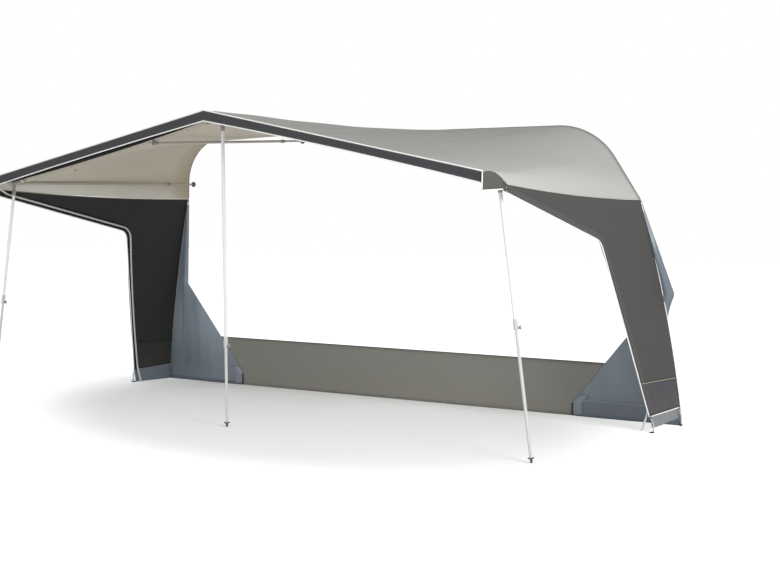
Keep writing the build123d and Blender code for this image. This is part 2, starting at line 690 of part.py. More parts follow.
APEX_PIVOT_Z = APEX_BAR_Z - PIVOT_DROP
CORNER_PIVOT_Z = CORNER_BAR_Z - PIVOT_DROP
UPRIGHTS = (
    Upright("left", -UPRIGHT_SPREAD, CORNER_BAR_Y, CORNER_PIVOT_Z, -UPRIGHT_FOOT_SPREAD, SIDE_FOOT_Y, LEFT_CLAMP_Z),
    Upright("middle", 0, APEX_BAR_Y, APEX_PIVOT_Z, 0, MIDDLE_FOOT_Y, MIDDLE_CLAMP_Z),
    Upright("right", UPRIGHT_SPREAD, CORNER_BAR_Y, CORNER_PIVOT_Z, UPRIGHT_FOOT_SPREAD, SIDE_FOOT_Y, RIGHT_CLAMP_Z),
)
LEFT_UPRIGHT, MIDDLE_UPRIGHT, RIGHT_UPRIGHT = UPRIGHTS


class RoofPole:
    """A two-part pole from the front bar to a pad on the wall, where its inner tube slides."""

    def __init__(self, name, front, wall):
        self.name = name
        self.front = front
        self.knuckle = wall - Vector(0, PAD_THICKNESS + KNUCKLE_RADIUS, 0)
        self.wall = wall
        self.length = (self.knuckle - front).length
        self.back = (self.knuckle - front).normalized()

    def at(self, distance):
        """A point on the pole's axis, measured from its front end."""
        return self.front + self.back * distance

    def joint_end(self):
        """Where the outer tube ends and the inner tube comes out."""
        return self.length - POLE_INNER_OUT

    def outer(self):
        return tube(self.front, self.at(self.joint_end()), POLE_RADIUS, POLE_BORE)

    def cuff(self):
        """The sleeve over the outer tube's end that grips the inner tube."""
        end = self.joint_end()
        body = rod(self.at(end - CUFF_LENGTH * 0.7), self.at(end + CUFF_LENGTH * 0.3), CUFF_RADIUS)
        body -= rod(self.at(end - CUFF_LENGTH), self.at(end), POLE_RADIUS)
        return body - rod(self.at(end), self.at(end + CUFF_LENGTH), POLE_INNER_RADIUS + 0.1)

    def inner(self):
        """The sliding tube with its plugged end and its round knuckle."""
        tube_end = self.length - POLE_END_PLUG
        start = self.at(self.joint_end() - POLE_ENGAGED)
        body = rod(start, self.at(tube_end), POLE_INNER_RADIUS)
        body -= rod(start, self.at(tube_end - POLE_SOCKET_WALL), POLE_INNER_BORE)
        body += rod(self.at(tube_end), self.knuckle, KNUCKLE_NECK_RADIUS)
        return body + Pos(*self.knuckle) * along_x(KNUCKLE_RADIUS, -KNUCKLE_HALF, KNUCKLE_HALF)

    def pad(self):
        """A disc on the wall whose hub holds the knuckle in a cross bore."""
        face = Plane(origin=self.wall, z_dir=(0, -1, 0))
        body = face * local_rod(PAD_RADIUS, 0, PAD_THICKNESS)
        body += face * local_rod(PAD_HUB_RADIUS, 0, PAD_HUB)
        half = KNUCKLE_HALF + KNUCKLE_PLAY
        body -= Pos(*self.knuckle) * along_x(KNUCKLE_RADIUS + KNUCKLE_PLAY, -half, half)
        mouth = Cone(KNUCKLE_NECK_RADIUS + 1.2, PAD_HUB_RADIUS - 2,
                     PAD_HUB - PAD_THICKNESS - KNUCKLE_RADIUS + 0.5,
                     align=(Align.CENTER, Align.CENTER, Align.MIN))
        return body - face * (Pos(0, 0, PAD_THICKNESS + KNUCKLE_RADIUS) * mouth)

    def socket(self, start):
        """The cup on a front joint that holds the pole's front end."""
        return rod(self.at(start), self.at(POLE_SOCKET), POLE_RADIUS + POLE_SOCKET_WALL)

    def bore(self):
        return rod(self.front, self.at(2 * POLE_SOCKET), POLE_RADIUS)


def end_pole(side):
    rail_at_pad = side.rail_x - (END_POLE_WALL_Z - side.seam_z) / tan(radians(side.rail_slope))
    wall = side.at(rail_at_pad - END_POLE_RAIL_GAP, 0, END_POLE_WALL_Z)
    corner = bar_point(side, CORNER_BAR_X)
    front = corner + (wall - corner).normalized() * (JOINT_RADIUS + POLE_SOCKET_WALL)
    return RoofPole(side.name + "_end", front, wall)


def inner_pole(side):
    wall = side.at(INNER_POLE_WALL_X, 0, INNER_POLE_WALL_Z)
    front = bar_point(side, INNER_POLE_FRONT_X) - Vector(0, POLE_SOCKET_WALL, INNER_POLE_DROP)
    return RoofPole(side.name + "_inner", front, wall)


LEFT_END_POLE, RIGHT_END_POLE = [end_pole(side) for side in SIDES]
LEFT_INNER_POLE, RIGHT_INNER_POLE = [inner_pole(side) for side in SIDES]
ROOF_POLES = (LEFT_END_POLE, LEFT_INNER_POLE, RIGHT_INNER_POLE, RIGHT_END_POLE)


def sleeve(side, start, end):
    """The part of a joint that goes over the front bar."""
    return rod(bar_point(side, start), bar_point(side, end), JOINT_RADIUS)


def bar_bore(side):
    return rod(bar_point(side, JOINT_CORE), bar_point(side, CORNER_BAR_X), BAR_RADIUS)


def apex_joint():
    """Two sleeves at the gable's angle, with the middle upright's lug below them."""
    body = sleeve(LEFT, 0, JOINT_SLEEVE) + sleeve(RIGHT, 0, JOINT_SLEEVE)
    body += Pos(*bar_point(LEFT, 0)) * Sphere(JOINT_RADIUS)
    body += MIDDLE_UPRIGHT.lug(PIVOT_DROP)
    for side in SIDES:
        body -= bar_bore(side)
    return body - MIDDLE_UPRIGHT.pin()


def wing_tube_line(side):
    """The corners of a wing tube's route, from the hood's corner to its foot on the ground."""
    clear = CLOTH + WING_TUBE_STANDOFF + WING_TUBE_RADIUS
    start, elbow = edge_corners(side, WING_TUBE_INSET, WING_TUBE_FOOT_TOP)[:2]
    bend_y = CORNER_BAR_Y - WING_TUBE_RADIUS
    bend = start + (elbow - start) * ((bend_y - start.X) / (elbow.X - start.X))
    route = edge_route(side, WING_TUBE_INSET, clear, WING_TUBE_FOOT_TOP)
    route[0] = side.wing_point(bend.X, bend.Y, clear)
    below = CANOPY_BAR_RADIUS + WING_TUBE_RADIUS + SEAT_GAP
    hood_end = canopy_point(side, CANOPY_BAR_REACH) - Vector(0, 0, below)
    toe = route[-1] + side.at(-WING_TUBE_FOOT_TURN, 0, WING_TUBE_RADIUS - WING_TUBE_FOOT_TOP)
    return [hood_end] + route + [toe]


def wing_tube(side):
    """The bent tube that keeps a wing's front edge straight, with its rounded foot on the ground."""
    line = wing_tube_line(side)
    radii = [WING_TUBE_TOP_BEND] + edge_radii(WING_TUBE_INSET) + [WING_TUBE_FOOT_BEND]
    return swept(line, radii, WING_TUBE_RADIUS) + Pos(*line[-1]) * Sphere(WING_TUBE_RADIUS)


def corner_joint(side, upright, pole):
    """A sleeve on the bar's end, the upright's lug, the end pole's socket and the wing tube's clip."""
    corner = bar_point(side, CORNER_BAR_X)
    body = sleeve(side, CORNER_BAR_X - JOINT_SLEEVE, CORNER_BAR_X + JOINT_CORE)
    body += upright.lug(PIVOT_DROP)
    body += rod(corner, pole.at(POLE_SOCKET), POLE_RADIUS + POLE_SOCKET_WALL)
    top_bend, elbow = wing_tube_line(side)[1:3]
    down = (elbow - top_bend).normalized()
    clip = top_bend + down * (WING_TUBE_TOP_BEND / 2 + CLIP_WIDTH)
    body += rod(corner, clip, CLIP_ARM_RADIUS)
    body += rod(clip - down * (CLIP_WIDTH / 2), clip + down * (CLIP_WIDTH / 2), WING_TUBE_RADIUS + CLIP_WALL)
    body -= rod(top_bend, elbow, WING_TUBE_RADIUS)
    body -= bar_bore(side)
    return body - pole.bore() - upright.pin()


def bar_clamp(side, pole):
    """A saddle under the front bar that holds the front end of an inner pole."""
    start, end = bar_point(side, 0), bar_point(side, CORNER_BAR_X)
    middle = bar_point(side, INNER_POLE_FRONT_X)
    body = ring_on(start, end, middle, BAR_RADIUS, 2 * CUFF_RADIUS, POLE_SOCKET_WALL)
    body += pole.socket(-POLE_SOCKET_WALL)
    body += rod(middle, pole.at(POLE_SOCKET / 4), POLE_RADIUS)
    return body - rod(start, end, BAR_RADIUS) - pole.bore()


def peg_loops():
    """Rubber rings at the legs' corners, where pegs hold the awning down: flat in front, upright behind."""
    loops = []
    reach = LOOP_RING_RADIUS + LOOP_CORD_RADIUS
    ring = Torus(LOOP_RING_RADIUS, LOOP_CORD_RADIUS)
    for side in SIDES:
        front_y = front_edge_y(side, LOOP_CORD_RADIUS) - reach - 3 * SEAT_GAP
        loops.append(Pos(*side.wing_point(front_y, LOOP_CORD_RADIUS, CLOTH / 2)) * ring)
        rear_y = WING_REAR_Y - 2 * reach
        normal = side.wing_normal(rear_y, reach)
        beside = side.wing_point(rear_y, reach) + normal * (LOOP_CORD_RADIUS + 3 * SEAT_GAP)
        loops.append(Plane(origin=beside, z_dir=normal) * ring)
    return loops


for side, upright, pole in ((LEFT, LEFT_UPRIGHT, LEFT_END_POLE), (RIGHT, RIGHT_UPRIGHT, RIGHT_END_POLE)):
    parts["roof_" + side.name] = roof_half(side)
    parts["valance_" + side.name] = valance(side)
    parts["corner_cap_" + side.name] = corner_cap(side)
    wing, foot_panel, mud_flap = wing_pieces(side)
    parts["wing_" + side.name] = wing
    parts["wing_foot_" + side.name] = foot_panel
    parts["mud_flap_" + side.name] = mud_flap
    parts["wing_piping_" + side.name] = wing_piping(side)
    parts["wing_tube_" + side.name] = wing_tube(side)
    parts["front_bar_" + side.name] = front_bar(side)
    parts["corner_joint_" + side.name] = corner_joint(side, upright, pole)

parts["draught_flap_left"] = draught_flap(LEFT, LEFT_FLAP_END_X, LEFT_FLAP_END_Z)
parts["draught_flap_right"] = draught_flap(RIGHT, RIGHT_FLAP_END_X, RIGHT_FLAP_END_Z)
parts["front_piping"] = front_piping(LEFT) + front_piping(RIGHT)
parts["rail_bead"] = rail_bead()
skirt_corners = [(-SKIRT_LEFT_X, 0), (SKIRT_RIGHT_X, 0), (SKIRT_RIGHT_X, SKIRT_HEIGHT), (-SKIRT_LEFT_X, SKIRT_HEIGHT)]
parts["caravan_skirt"] = upright_plate(skirt_corners, SKIRT_BACK_Y)
parts["skirt_bead"] = skirt_bead()
parts["apex_joint"] = apex_joint()
parts["canopy_bar"] = canopy_bar()
parts["canopy_arms"] = [canopy_arm(side, x) for side in SIDES for x in ARM_X]
parts["bar_clamps"] = [bar_clamp(LEFT, LEFT_INNER_POLE), bar_clamp(RIGHT, RIGHT_INNER_POLE)]
parts["peg_loops"] = peg_loops()
parts["hinge_pins"] = [upright.hinge_pin() for upright in UPRIGHTS]
for upright in UPRIGHTS:
    parts["upright_head_" + upright.name] = upright.head()
    parts["upright_tube_" + upright.name] = upright.upper_tube()
    parts["upright_clamp_" + upright.name] = upright.clamp()
    parts["upright_screw_" + upright.name] = upright.screw()
    parts["upright_leg_" + upright.name] = upright.lower_tube()
    parts["upright_foot_" + upright.name] = upright.foot()
parts["roof_pole_tubes"] = [pole.outer() for pole in ROOF_POLES]
parts["roof_pole_cuffs"] = [pole.cuff() for pole in ROOF_POLES]
for pole in ROOF_POLES:
    parts["roof_pole_slider_" + pole.name] = pole.inner()
    parts["roof_pole_pad_" + pole.name] = pole.pad()


def all_solids(shape):
    """Every solid of a piece, whether it was made alone or as a list."""
    pieces = shape if isinstance(shape, list) else [shape]
    return [solid for piece in pieces for solid in piece.solids()]


whole = Compound(children=[Compound(children=all_solids(shape)) for shape in parts.values()])
box = whole.bounding_box()
to_origin = Location((-(box.min.X + box.max.X) / 2, -(box.min.Y + box.max.Y) / 2, -box.min.Z))

if __name__ == "__main__":
    os.makedirs("parts", exist_ok=True)
    for name, shape in parts.items():
        moved = Compound(children=[solid.moved(to_origin) for solid in all_solids(shape)], label=name)
        export_step(moved, "parts/" + name + ".step")
    print("nodes", len(parts), "box", [round(value) for value in (*box.min, *box.max)])
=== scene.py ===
from dataclasses import dataclass
from math import cos, exp, pi, radians, sin, tan

import bmesh
import bpy
from mathutils import Matrix, Vector, noise


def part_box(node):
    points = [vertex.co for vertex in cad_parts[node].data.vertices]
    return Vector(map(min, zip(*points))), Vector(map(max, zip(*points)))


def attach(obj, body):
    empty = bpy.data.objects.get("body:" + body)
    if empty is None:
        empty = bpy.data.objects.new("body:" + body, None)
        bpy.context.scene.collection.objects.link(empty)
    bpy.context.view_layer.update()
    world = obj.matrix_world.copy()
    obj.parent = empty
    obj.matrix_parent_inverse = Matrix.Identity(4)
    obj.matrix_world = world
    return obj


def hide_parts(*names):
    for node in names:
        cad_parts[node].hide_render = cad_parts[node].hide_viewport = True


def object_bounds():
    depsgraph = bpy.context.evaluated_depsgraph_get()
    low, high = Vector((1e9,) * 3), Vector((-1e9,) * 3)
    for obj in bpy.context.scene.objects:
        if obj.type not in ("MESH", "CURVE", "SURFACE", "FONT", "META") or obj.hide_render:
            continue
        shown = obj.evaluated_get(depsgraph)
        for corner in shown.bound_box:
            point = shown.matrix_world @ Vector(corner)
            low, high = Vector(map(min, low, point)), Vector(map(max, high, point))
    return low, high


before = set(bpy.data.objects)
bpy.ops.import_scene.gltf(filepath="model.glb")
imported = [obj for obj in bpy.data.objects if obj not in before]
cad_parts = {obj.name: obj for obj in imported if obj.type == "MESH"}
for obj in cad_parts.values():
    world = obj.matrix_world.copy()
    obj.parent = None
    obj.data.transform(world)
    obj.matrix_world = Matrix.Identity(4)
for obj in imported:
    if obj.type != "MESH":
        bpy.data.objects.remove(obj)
cad_box = [list(corner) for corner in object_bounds()]

# The awning is laid out as in the part's source, but in metres: the plane that its rear edge lies
# against is Y = 0, the floor is Z = 0, the gable's apex is at X = 0 and the front faces -Y.
# Every mesh is moved into the part's own frame when it is made.
MIDDLE_LOW, MIDDLE_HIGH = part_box("upright_tube_middle")
LAYOUT_TO_FRAME = Vector(((MIDDLE_LOW[0] + MIDDLE_HIGH[0]) / 2, cad_box[1][1], 0))

# Thicknesses and small clearances
CLOTH = 0.0015
THIN_CLOTH = 0.0008
GUSSET_CLOTH = 0.001
TENSIONER_CLOTH = 0.0016
TUCK = CLOTH * 1.1
UNDER_ROOF = 0.0022
PIPING_RADIUS = 0.0042
BEAD_DIAMETER = 0.0075
SEAT_GAP = 0.0001
RAIL_Y = -BEAD_DIAMETER - SEAT_GAP

# Roof and gable
AWNING_DEPTH = 2.5
RAIL_TOP = 2.405
GABLE_APEX = 2.359
GABLE_CORNER_Z = 1.885
GABLE_HALF_WIDTH = 2.285
FOLD_START_X = 1.45
HOOD_CORNER_X = 2.365
HOOD_CORNER_Y = -2.3
HOOD_CORNER_Z = 1.812
HOOD_CORNER_RISE = 0.036
ROOF_SAG = 0.024
ROOF_SLACK = 0.006
RIDGE_REACH = 0.6
RIDGE_CREST = 0.009
CREASE_DEPTH = 0.004
CREASE_STATIONS = (10, 16, 24)
TOP_STEPS = 16
BEND_STEPS = 14
FALL_STEPS = 14
DEPTH_STEPS = 34

# Front bars, the pockets that hold them, and a dark strip behind the left valance, partly its dark inner face
# and partly painted shade
APEX_BAR = Vector((0, -2.277, 2.335))
CORNER_BAR = Vector((2.267, -2.226, 1.865))
POCKET_RADIUS = 0.0195
POCKET_SLACK = 0.004
POCKET_RIPPLE = 0.003
POCKET_STEP = 0.03
POCKET_RUNS = ((0.14, 0.648), (0.732, 2.12))
POCKET_SEAM = Vector((0, -POCKET_RADIUS * 0.55, -POCKET_RADIUS * 0.86 - 0.0045))
DARK_FACE_AND_SHADE_Y = -2.4665
DARK_FACE_AND_SHADE_START_X = 0.08
DARK_FACE_AND_SHADE_END_X = 2.1
DARK_FACE_AND_SHADE_HANG = 0.022

# Valance, corner caps and gussets
VALANCE_DROP = 0.068
VALANCE_BOW_RIGHT = 0.014
VALANCE_BOW_LEFT = 0.009
VALANCE_FLARE = 0.004
CAP_SHARE = 0.82
CAP_BOTTOM_FRONT = 1.768
CAP_BOTTOM_REAR = 1.783
CAP_FOLD = 0.003
CAP_FOLD_PLACE = 0.46
CAP_FOLD_WIDTH = 0.06
CAP_FULLNESS = 0.006
GUSSET_INSET = 0.004
GUSSET_DROP = 0.003
GUSSET_OVERLAP = 0.06

# Wings, their foot panels and their mud flaps
WING_CORNER_BOTTOM = 1.758
SEAM_Z = 0.38
HEM_FRONT_Z = 0.125
HEM_REAR_Z = 0.15
ELBOW_RADIUS = 0.11
WING_REAR_Y = -0.0092
WING_SLACK = 0.0035
WING_STEPS = 44
HEM_BAND = 0.052
HEM_EDGE = 0.0005
HEM_STAND = 0.0016
HEM_STITCH_STAND = 0.0019
HEM_STITCH_PLACES = (0.007, HEM_BAND - 0.004)
HEM_STITCH_END = 0.006
FOOT_GAP = 0.00015
FOOT_RIPPLE = 0.002
MUD_RIPPLE = 0.016
FOOT_SEAM_RADIUS = 0.0022
FOOT_SEAM_INNER_RADIUS = 0.0018
SEAM_STAND = 0.0012
HEM_PIPING_STAND = 0.0034
REAR_PIPING_STAND = 0.0022
REAR_PIPING_GAP = 0.004
REAR_PIPING_DROP = 0.02
ROOF_SEAM_RADIUS = 0.0016
ROOF_SEAM_DROP = 0.006
ROOF_SEAM_FRONT = 0.985
ROOF_SEAM_STAND = 0.0013

# Eyelets and tensioners
EYELET_SPOTS = ((2.046, -1.752), (1.1, -1.0))
EYELET_RADIUS = 0.009
EYELET_WIRE = 0.0028
EYELET_DROP = 0.006
TENSIONER_WIDTH = 0.034
TENSIONER_TAPER = 0.35
TENSIONER_BELLY = 0.012
TENSIONER_FOOT_Z = 0.012
HOOK_WIRE = 0.0026
HOOK_SIZE = 0.012
HOOK_OUT = 0.004

# Draught flaps and skirt
FLAP_Y = -0.0076
FLAP_TOP_GAP = 0.06
FLAP_TAPER = 0.22
FLAP_FOOT_Z = 0.0004
FLAP_LOOSE_Z = 0.3
FLAP_PLEAT = 0.004
FLAP_FOLD = 0.016
FLAP_LOW_FOLD = 0.02
TAPE_WIDTH = 0.013
TAPE_STAND = 0.0022
UPRIGHT_TAPE_OUT = {"left": 0.045, "right": -0.16}
UPRIGHT_TAPE_TOP = {"left": 1.1, "right": 0.8}
UPRIGHT_TAPE_FOOT = 0.05
LOW_TAPE_Z = 0.135
LOW_TAPE_INSET = 0.06
CORNER_PATCH_WIDTH = 0.09
CORNER_PATCH_HEIGHT = 0.17
CORNER_PATCH_FOOT = 0.012
CORNER_PATCH_INSET = 0.004
CORNER_PATCH_STAND = 0.003
CORNER_PATCH_CREST = 0.006
STRAP_RADIUS = 0.0055
STRAP_INSET = 0.003
STRAP_STAND = 0.008
STRAP_HEIGHTS = (0.105, 0.07, 0.03, 0.01)
SKIRT_Y = -0.003
SKIRT_HEIGHT = 0.45
SKIRT_LEFT_X = -1.95
SKIRT_RIGHT_X = 2.3
SKIRT_CALM_LEFT = 0.4
SKIRT_CALM_RIGHT = 1.95
SKIRT_CALM_SPAN = 0.3
SKIRT_WAVE = 0.008


@dataclass
class Flank:
    """One end of the awning, with distances measured outwards from the middle."""

    name: str
    sign: int
    rail_x: float
    rail_slope: float
    rail_radius: float
    seam_z: float
    rail_foot_x: float
    rail_foot_z: float
    hem_rear_x: float
    hem_front_x: float
    hem_front_y: float
    bulge: float
    elbow_y: float
    elbow_z: float
    hang_front: float
    hang_rear: float
    flap_end_x: float
    flap_end_z: float

    def at(self, x, y, z):
        return Vector((self.sign * x, y, z))

    def top_corner_x(self):
        return self.rail_x - (RAIL_TOP - self.seam_z) / tan(radians(self.rail_slope))

    def arc_start_x(self):
        return self.top_corner_x() - self.rail_radius * tan(radians(self.rail_slope) / 2)

    def arc_point(self, share):
        angle = radians(self.rail_slope) * share
        x = self.arc_start_x() + self.rail_radius * sin(angle)
        return self.at(x, RAIL_Y, RAIL_TOP - self.rail_radius * (1 - cos(angle)))

    def rail_line_x(self, z):
        fall = (self.seam_z - z) / (self.seam_z - self.rail_foot_z)
        return self.rail_x + (self.rail_foot_x - self.rail_x) * fall

    def wing_rear_x(self, z):
        share = (self.seam_z - z) / (self.seam_z - HEM_REAR_Z)
        straight = self.rail_x + (self.hem_rear_x - self.rail_x) * share
        return straight + self.bulge * smooth_hump(share)

    def wing_x(self, y, z):
        share = (self.seam_z - z) / (self.seam_z - HEM_REAR_Z)
        toe_top = (HOOD_CORNER_X - self.rail_x) / HOOD_CORNER_Y
        toe_hem = (self.hem_front_x - self.hem_rear_x) / self.hem_front_y
        return self.wing_rear_x(z) + (toe_top + (toe_hem - toe_top) * share) * y

    def wing_point(self, y, z, inset=0.0):
        return self.at(self.wing_x(y, z) - inset, y, z)

    def on_wing(self, flat_line, inset):
        """The wing's points over a line of pairs of Y and Z, at a distance inside its outer face."""
        return [self.wing_point(y, z, inset) for y, z in flat_line]

    def seam_sag_z(self, share):
        straight = self.seam_z + (HOOD_CORNER_Z - self.seam_z) * share
        return straight - ROOF_SAG * smooth_hump(share)

    def front_edge_y(self, z):
        share = (self.elbow_z - z) / (self.elbow_z - HEM_FRONT_Z)
        return self.elbow_y + (self.hem_front_y - self.elbow_y) * share


LEFT = Flank(
    name="left", sign=-1,
    rail_x=2.25, rail_slope=90, rail_radius=0.43, seam_z=1.81, rail_foot_x=2.25, rail_foot_z=0.98,
    hem_rear_x=2.461, hem_front_x=2.501, hem_front_y=-0.5, bulge=0.025,
    elbow_y=-0.775, elbow_z=1.475, hang_front=0.0006, hang_rear=0.0006,
    flap_end_x=1.538, flap_end_z=0.125,
)
RIGHT = Flank(
    name="right", sign=1,
    rail_x=2.447, rail_slope=56.8, rail_radius=0.6, seam_z=1.79, rail_foot_x=2.743, rail_foot_z=1.043,
    hem_rear_x=2.821, hem_front_x=2.745, hem_front_y=-0.53, bulge=0.034,
    elbow_y=-0.96, elbow_z=1.459, hang_front=0.036, hang_rear=0.064,
    flap_end_x=1.901, flap_end_z=0.11,
)
SIDES = (LEFT, RIGHT)


# Places and lines

def steps(count):
    """Even shares of a span, from 0 to 1."""
    return [number / count for number in range(count + 1)]


def spread(low, high, count):
    """Even stops from one value to another."""
    return [low + (high - low) * share for share in steps(count)]


def flat_run(start, end, count):
    """Pairs of Y and Z at even distances between two places."""
    return list(zip(spread(start[0], end[0], count), spread(start[1], end[1], count)))


def smooth_hump(share):
    """Zero at both ends of a span and one in its middle."""
    return 4 * share * (1 - share)


def gable_z(x):
    return GABLE_APEX - (GABLE_APEX - GABLE_CORNER_Z) * abs(x) / GABLE_HALF_WIDTH


def hood_corner(side, share):
    """The edge of the hood, from the gable's corner back to the wing's."""
    front = side.at(GABLE_HALF_WIDTH, -AWNING_DEPTH, GABLE_CORNER_Z)
    rear = side.at(HOOD_CORNER_X, HOOD_CORNER_Y, HOOD_CORNER_Z)
    return front.lerp(rear, share) + Vector((0, 0, HOOD_CORNER_RISE * sin(pi * share)))


def bar_point(side, x):
    """A point on the axis of a front bar."""
    along = APEX_BAR.lerp(CORNER_BAR, x / CORNER_BAR.x)
    return side.at(along.x, along.y, along.z)


def rounded(points, radius, turns=10):
    """A line of points whose inner corners are arcs of one radius."""
    line = [points[0]]
    for before, corner, after in zip(points, points[1:], points[2:]):
        back = (before - corner).normalized()
        ahead = (after - corner).normalized()
        half = back.angle(ahead) / 2
        reach = radius / tan(half)
        centre = corner + (back + ahead).normalized() * (radius / sin(half))
        start = corner + back * reach - centre
        end = corner + ahead * reach - centre
        for share in steps(turns):
            line.append(centre + start.slerp(end, share) * radius)
    return line + [points[-1]]


def resampled(line, count):
    """Points at even distances along a line of points."""
    lengths = [(after - before).length for before, after in zip(line, line[1:])]
    whole = sum(lengths)
    result = [line[0].copy()]
    run = 0
    passed = 0.0
    for number in range(1, count):
        target = whole * number / count
        while passed + lengths[run] < target:
            passed += lengths[run]
            run += 1
        result.append(line[run].lerp(line[run + 1], (target - passed) / lengths[run]))
    return result + [line[-1].copy()]


def ring_line(centre, first, second, radius, turns=20):
    """A closed circle of points, met at its end by its first point."""
    angles = [2 * pi * share for share in steps(turns)]
    return [centre + first * (radius * cos(angle)) + second * (radius * sin(angle)) for angle in angles]


def wrinkle(point, size, seed=0.0):
    """A smooth random value from -1 to 1 that changes over a distance of about size."""
    return noise.noise(Vector(point) / size + Vector((seed, 2.3 * seed, 5.1 * seed)))


# Meshes and pieces

def finish_mesh(name, mesh, finishes, smooth=True):
    """Moves a mesh into the part's frame, gives it its materials and puts it in the scene."""
    mesh.transform(Matrix.Translation(LAYOUT_TO_FRAME))
    for finish in finishes:
        mesh.materials.append(finish.material)
    for face in mesh.polygons:
        face.use_smooth = smooth
    piece = bpy.data.objects.new(name, mesh)
    bpy.context.scene.collection.objects.link(piece)
    return piece


def mesh_of(name, points, faces):
    mesh = bpy.data.meshes.new(name)
    mesh.from_pydata([tuple(point) for point in points], [], faces)
    mesh.validate()
    mesh.update()
    return mesh


def turn_outwards(mesh, outwards):
    """Turns an open sheet over if most of it faces away from a direction."""
    facing = sum((face.normal * face.area for face in mesh.polygons), Vector())
    if facing.dot(Vector(outwards)) < 0:
        mesh.flip_normals()


def merged(mesh, distance=0.00005):
    """The mesh with its doubled points joined."""
    work = bmesh.new()
    work.from_mesh(mesh)
    bmesh.ops.remove_doubles(work, verts=work.verts, dist=distance)
    bmesh.ops.dissolve_degenerate(work, edges=work.edges, dist=distance / 10)
    work.to_mesh(mesh)
    work.free()
    return mesh


def frozen(piece):
    """The piece with its modifiers worked into its mesh."""
    graph = bpy.context.evaluated_depsgraph_get()
    solid = bpy.data.meshes.new_from_object(piece.evaluated_get(graph))
    piece.modifiers.clear()
    piece.data = solid
    return piece


def fit(piece, nodes=()):
    """Puts a piece on the fixed frame and in place of the solids it dresses."""
    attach(piece, "awning")
    if nodes:
        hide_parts(*nodes)


def cloth(name, rows, outwards, finishes, nodes=(), thickness=CLOTH):
    """A sheet of cloth through rows of points, with its thickness on its inner side.

    The finishes are those of its outer and, where it differs, its inner face.
    """
    points = [point for row in rows for point in row]
    width = len(rows[0])
    faces = []
    for row in range(len(rows) - 1):
        for column in range(width - 1):
            first = row * width + column
            faces.append((first, first + 1, first + width + 1, first + width))
    mesh = merged(mesh_of(name, points, faces))
    turn_outwards(mesh, outwards)
    piece = finish_mesh(name, mesh, finishes)
    layer = piece.modifiers.new("Cloth", "SOLIDIFY")
    layer.thickness = thickness
    layer.offset = -1
    layer.material_offset = len(finishes) - 1
    fit(frozen(piece), nodes)


def tube_mesh(name, line, radius, sides):
    """A round tube with closed ends along a line of points."""
    points = []
    faces = []
    across = None
    for number, point in enumerate(line):
        before = line[max(number - 1, 0)]
        after = line[min(number + 1, len(line) - 1)]
        along = (after - before).normalized()
        if across is None:
            across = along.orthogonal().normalized()
        across = (across - along * across.dot(along)).normalized()
        upwards = along.cross(across)
        for side in range(sides):
            angle = 2 * pi * side / sides
            points.append(point + (across * cos(angle) + upwards * sin(angle)) * radius)
    for ring in range(len(line) - 1):
        for side in range(sides):
            near = ring * sides + side
            beside = ring * sides + (side + 1) % sides
            faces.append((near, beside, beside + sides, near + sides))
    faces.append(tuple(range(sides))[::-1])
    faces.append(tuple(range((len(line) - 1) * sides, len(line) * sides)))
    return mesh_of(name, points, faces)


def tubes(name, lines, radius, finish, sides=10, nodes=()):
    """One piece made of tubes along several lines of points."""
    work = bmesh.new()
    for line in lines:
        work.from_mesh(tube_mesh(name, line, radius, sides))
    mesh = bpy.data.meshes.new(name)
    work.to_mesh(mesh)
    work.free()
    fit(finish_mesh(name, mesh, [finish]), nodes)


# Nodes of materials, of the light and of the stitches

def add_node(tree, kind, settings=None, sockets=None):
    """A node with its settings made first, then its sockets' values or links."""
    node = tree.nodes.new(kind)
    for name, value in (settings or {}).items():
        setattr(node, name, value)
    for name, value in (sockets or {}).items():
        give(tree, node.inputs[name], value)
    return node


def give(tree, socket, value):
    """Sets a socket to a value, or links it to the socket that the value comes from."""
    if isinstance(value, Value):
        value = value.socket
    if isinstance(value, bpy.types.NodeSocket):
        tree.links.new(value, socket)
    else:
        socket.default_value = value


class Value:
    """A number on a node's socket, with arithmetic that adds the Math nodes."""

    def __init__(self, tree, socket):
        self.tree = tree
        self.socket = socket

    def worked(self, operation, *terms):
        """The result of a Math node; with no other terms, of this value alone."""
        terms = terms or (self,)
        node = add_node(self.tree, "ShaderNodeMath", {"operation": operation}, dict(enumerate(terms)))
        return Value(self.tree, node.outputs[0])

    def __add__(self, other):
        return self.worked("ADD", self, other)

    def __radd__(self, other):
        return self.worked("ADD", other, self)

    def __rsub__(self, other):
        return self.worked("SUBTRACT", other, self)

    def __mul__(self, other):
        return self.worked("MULTIPLY", self, other)

    def __rmul__(self, other):
        return self.worked("MULTIPLY", other, self)

    def sine(self):
        return self.worked("SINE")

    def root(self):
        return self.worked("SQRT")

    def larger(self, other):
        return self.worked("MAXIMUM", self, other)

    def between(self, low, high):
        """Goes from 0 to 1 as this value goes from low to high, and stays there."""
        sockets = {"Value": self, "From Min": low, "From Max": high}
        node = add_node(self.tree, "ShaderNodeMapRange", {"interpolation_type": "SMOOTHSTEP"}, sockets)
        return Value(self.tree, node.outputs["Result"])


# Finishes

def linear(code, factor=1):
    """A colour written as in a drawing program, as the shader's linear values times a factor."""
    parts = [int(code[place:place + 2], 16) / 255 for place in (1, 3, 5)]
    values = [p / 12.92 if p <= 0.04045 else ((p + 0.055) / 1.055) ** 2.4 for p in parts]
    return tuple(min(value * factor, 1) for value in values) + (1.0,)


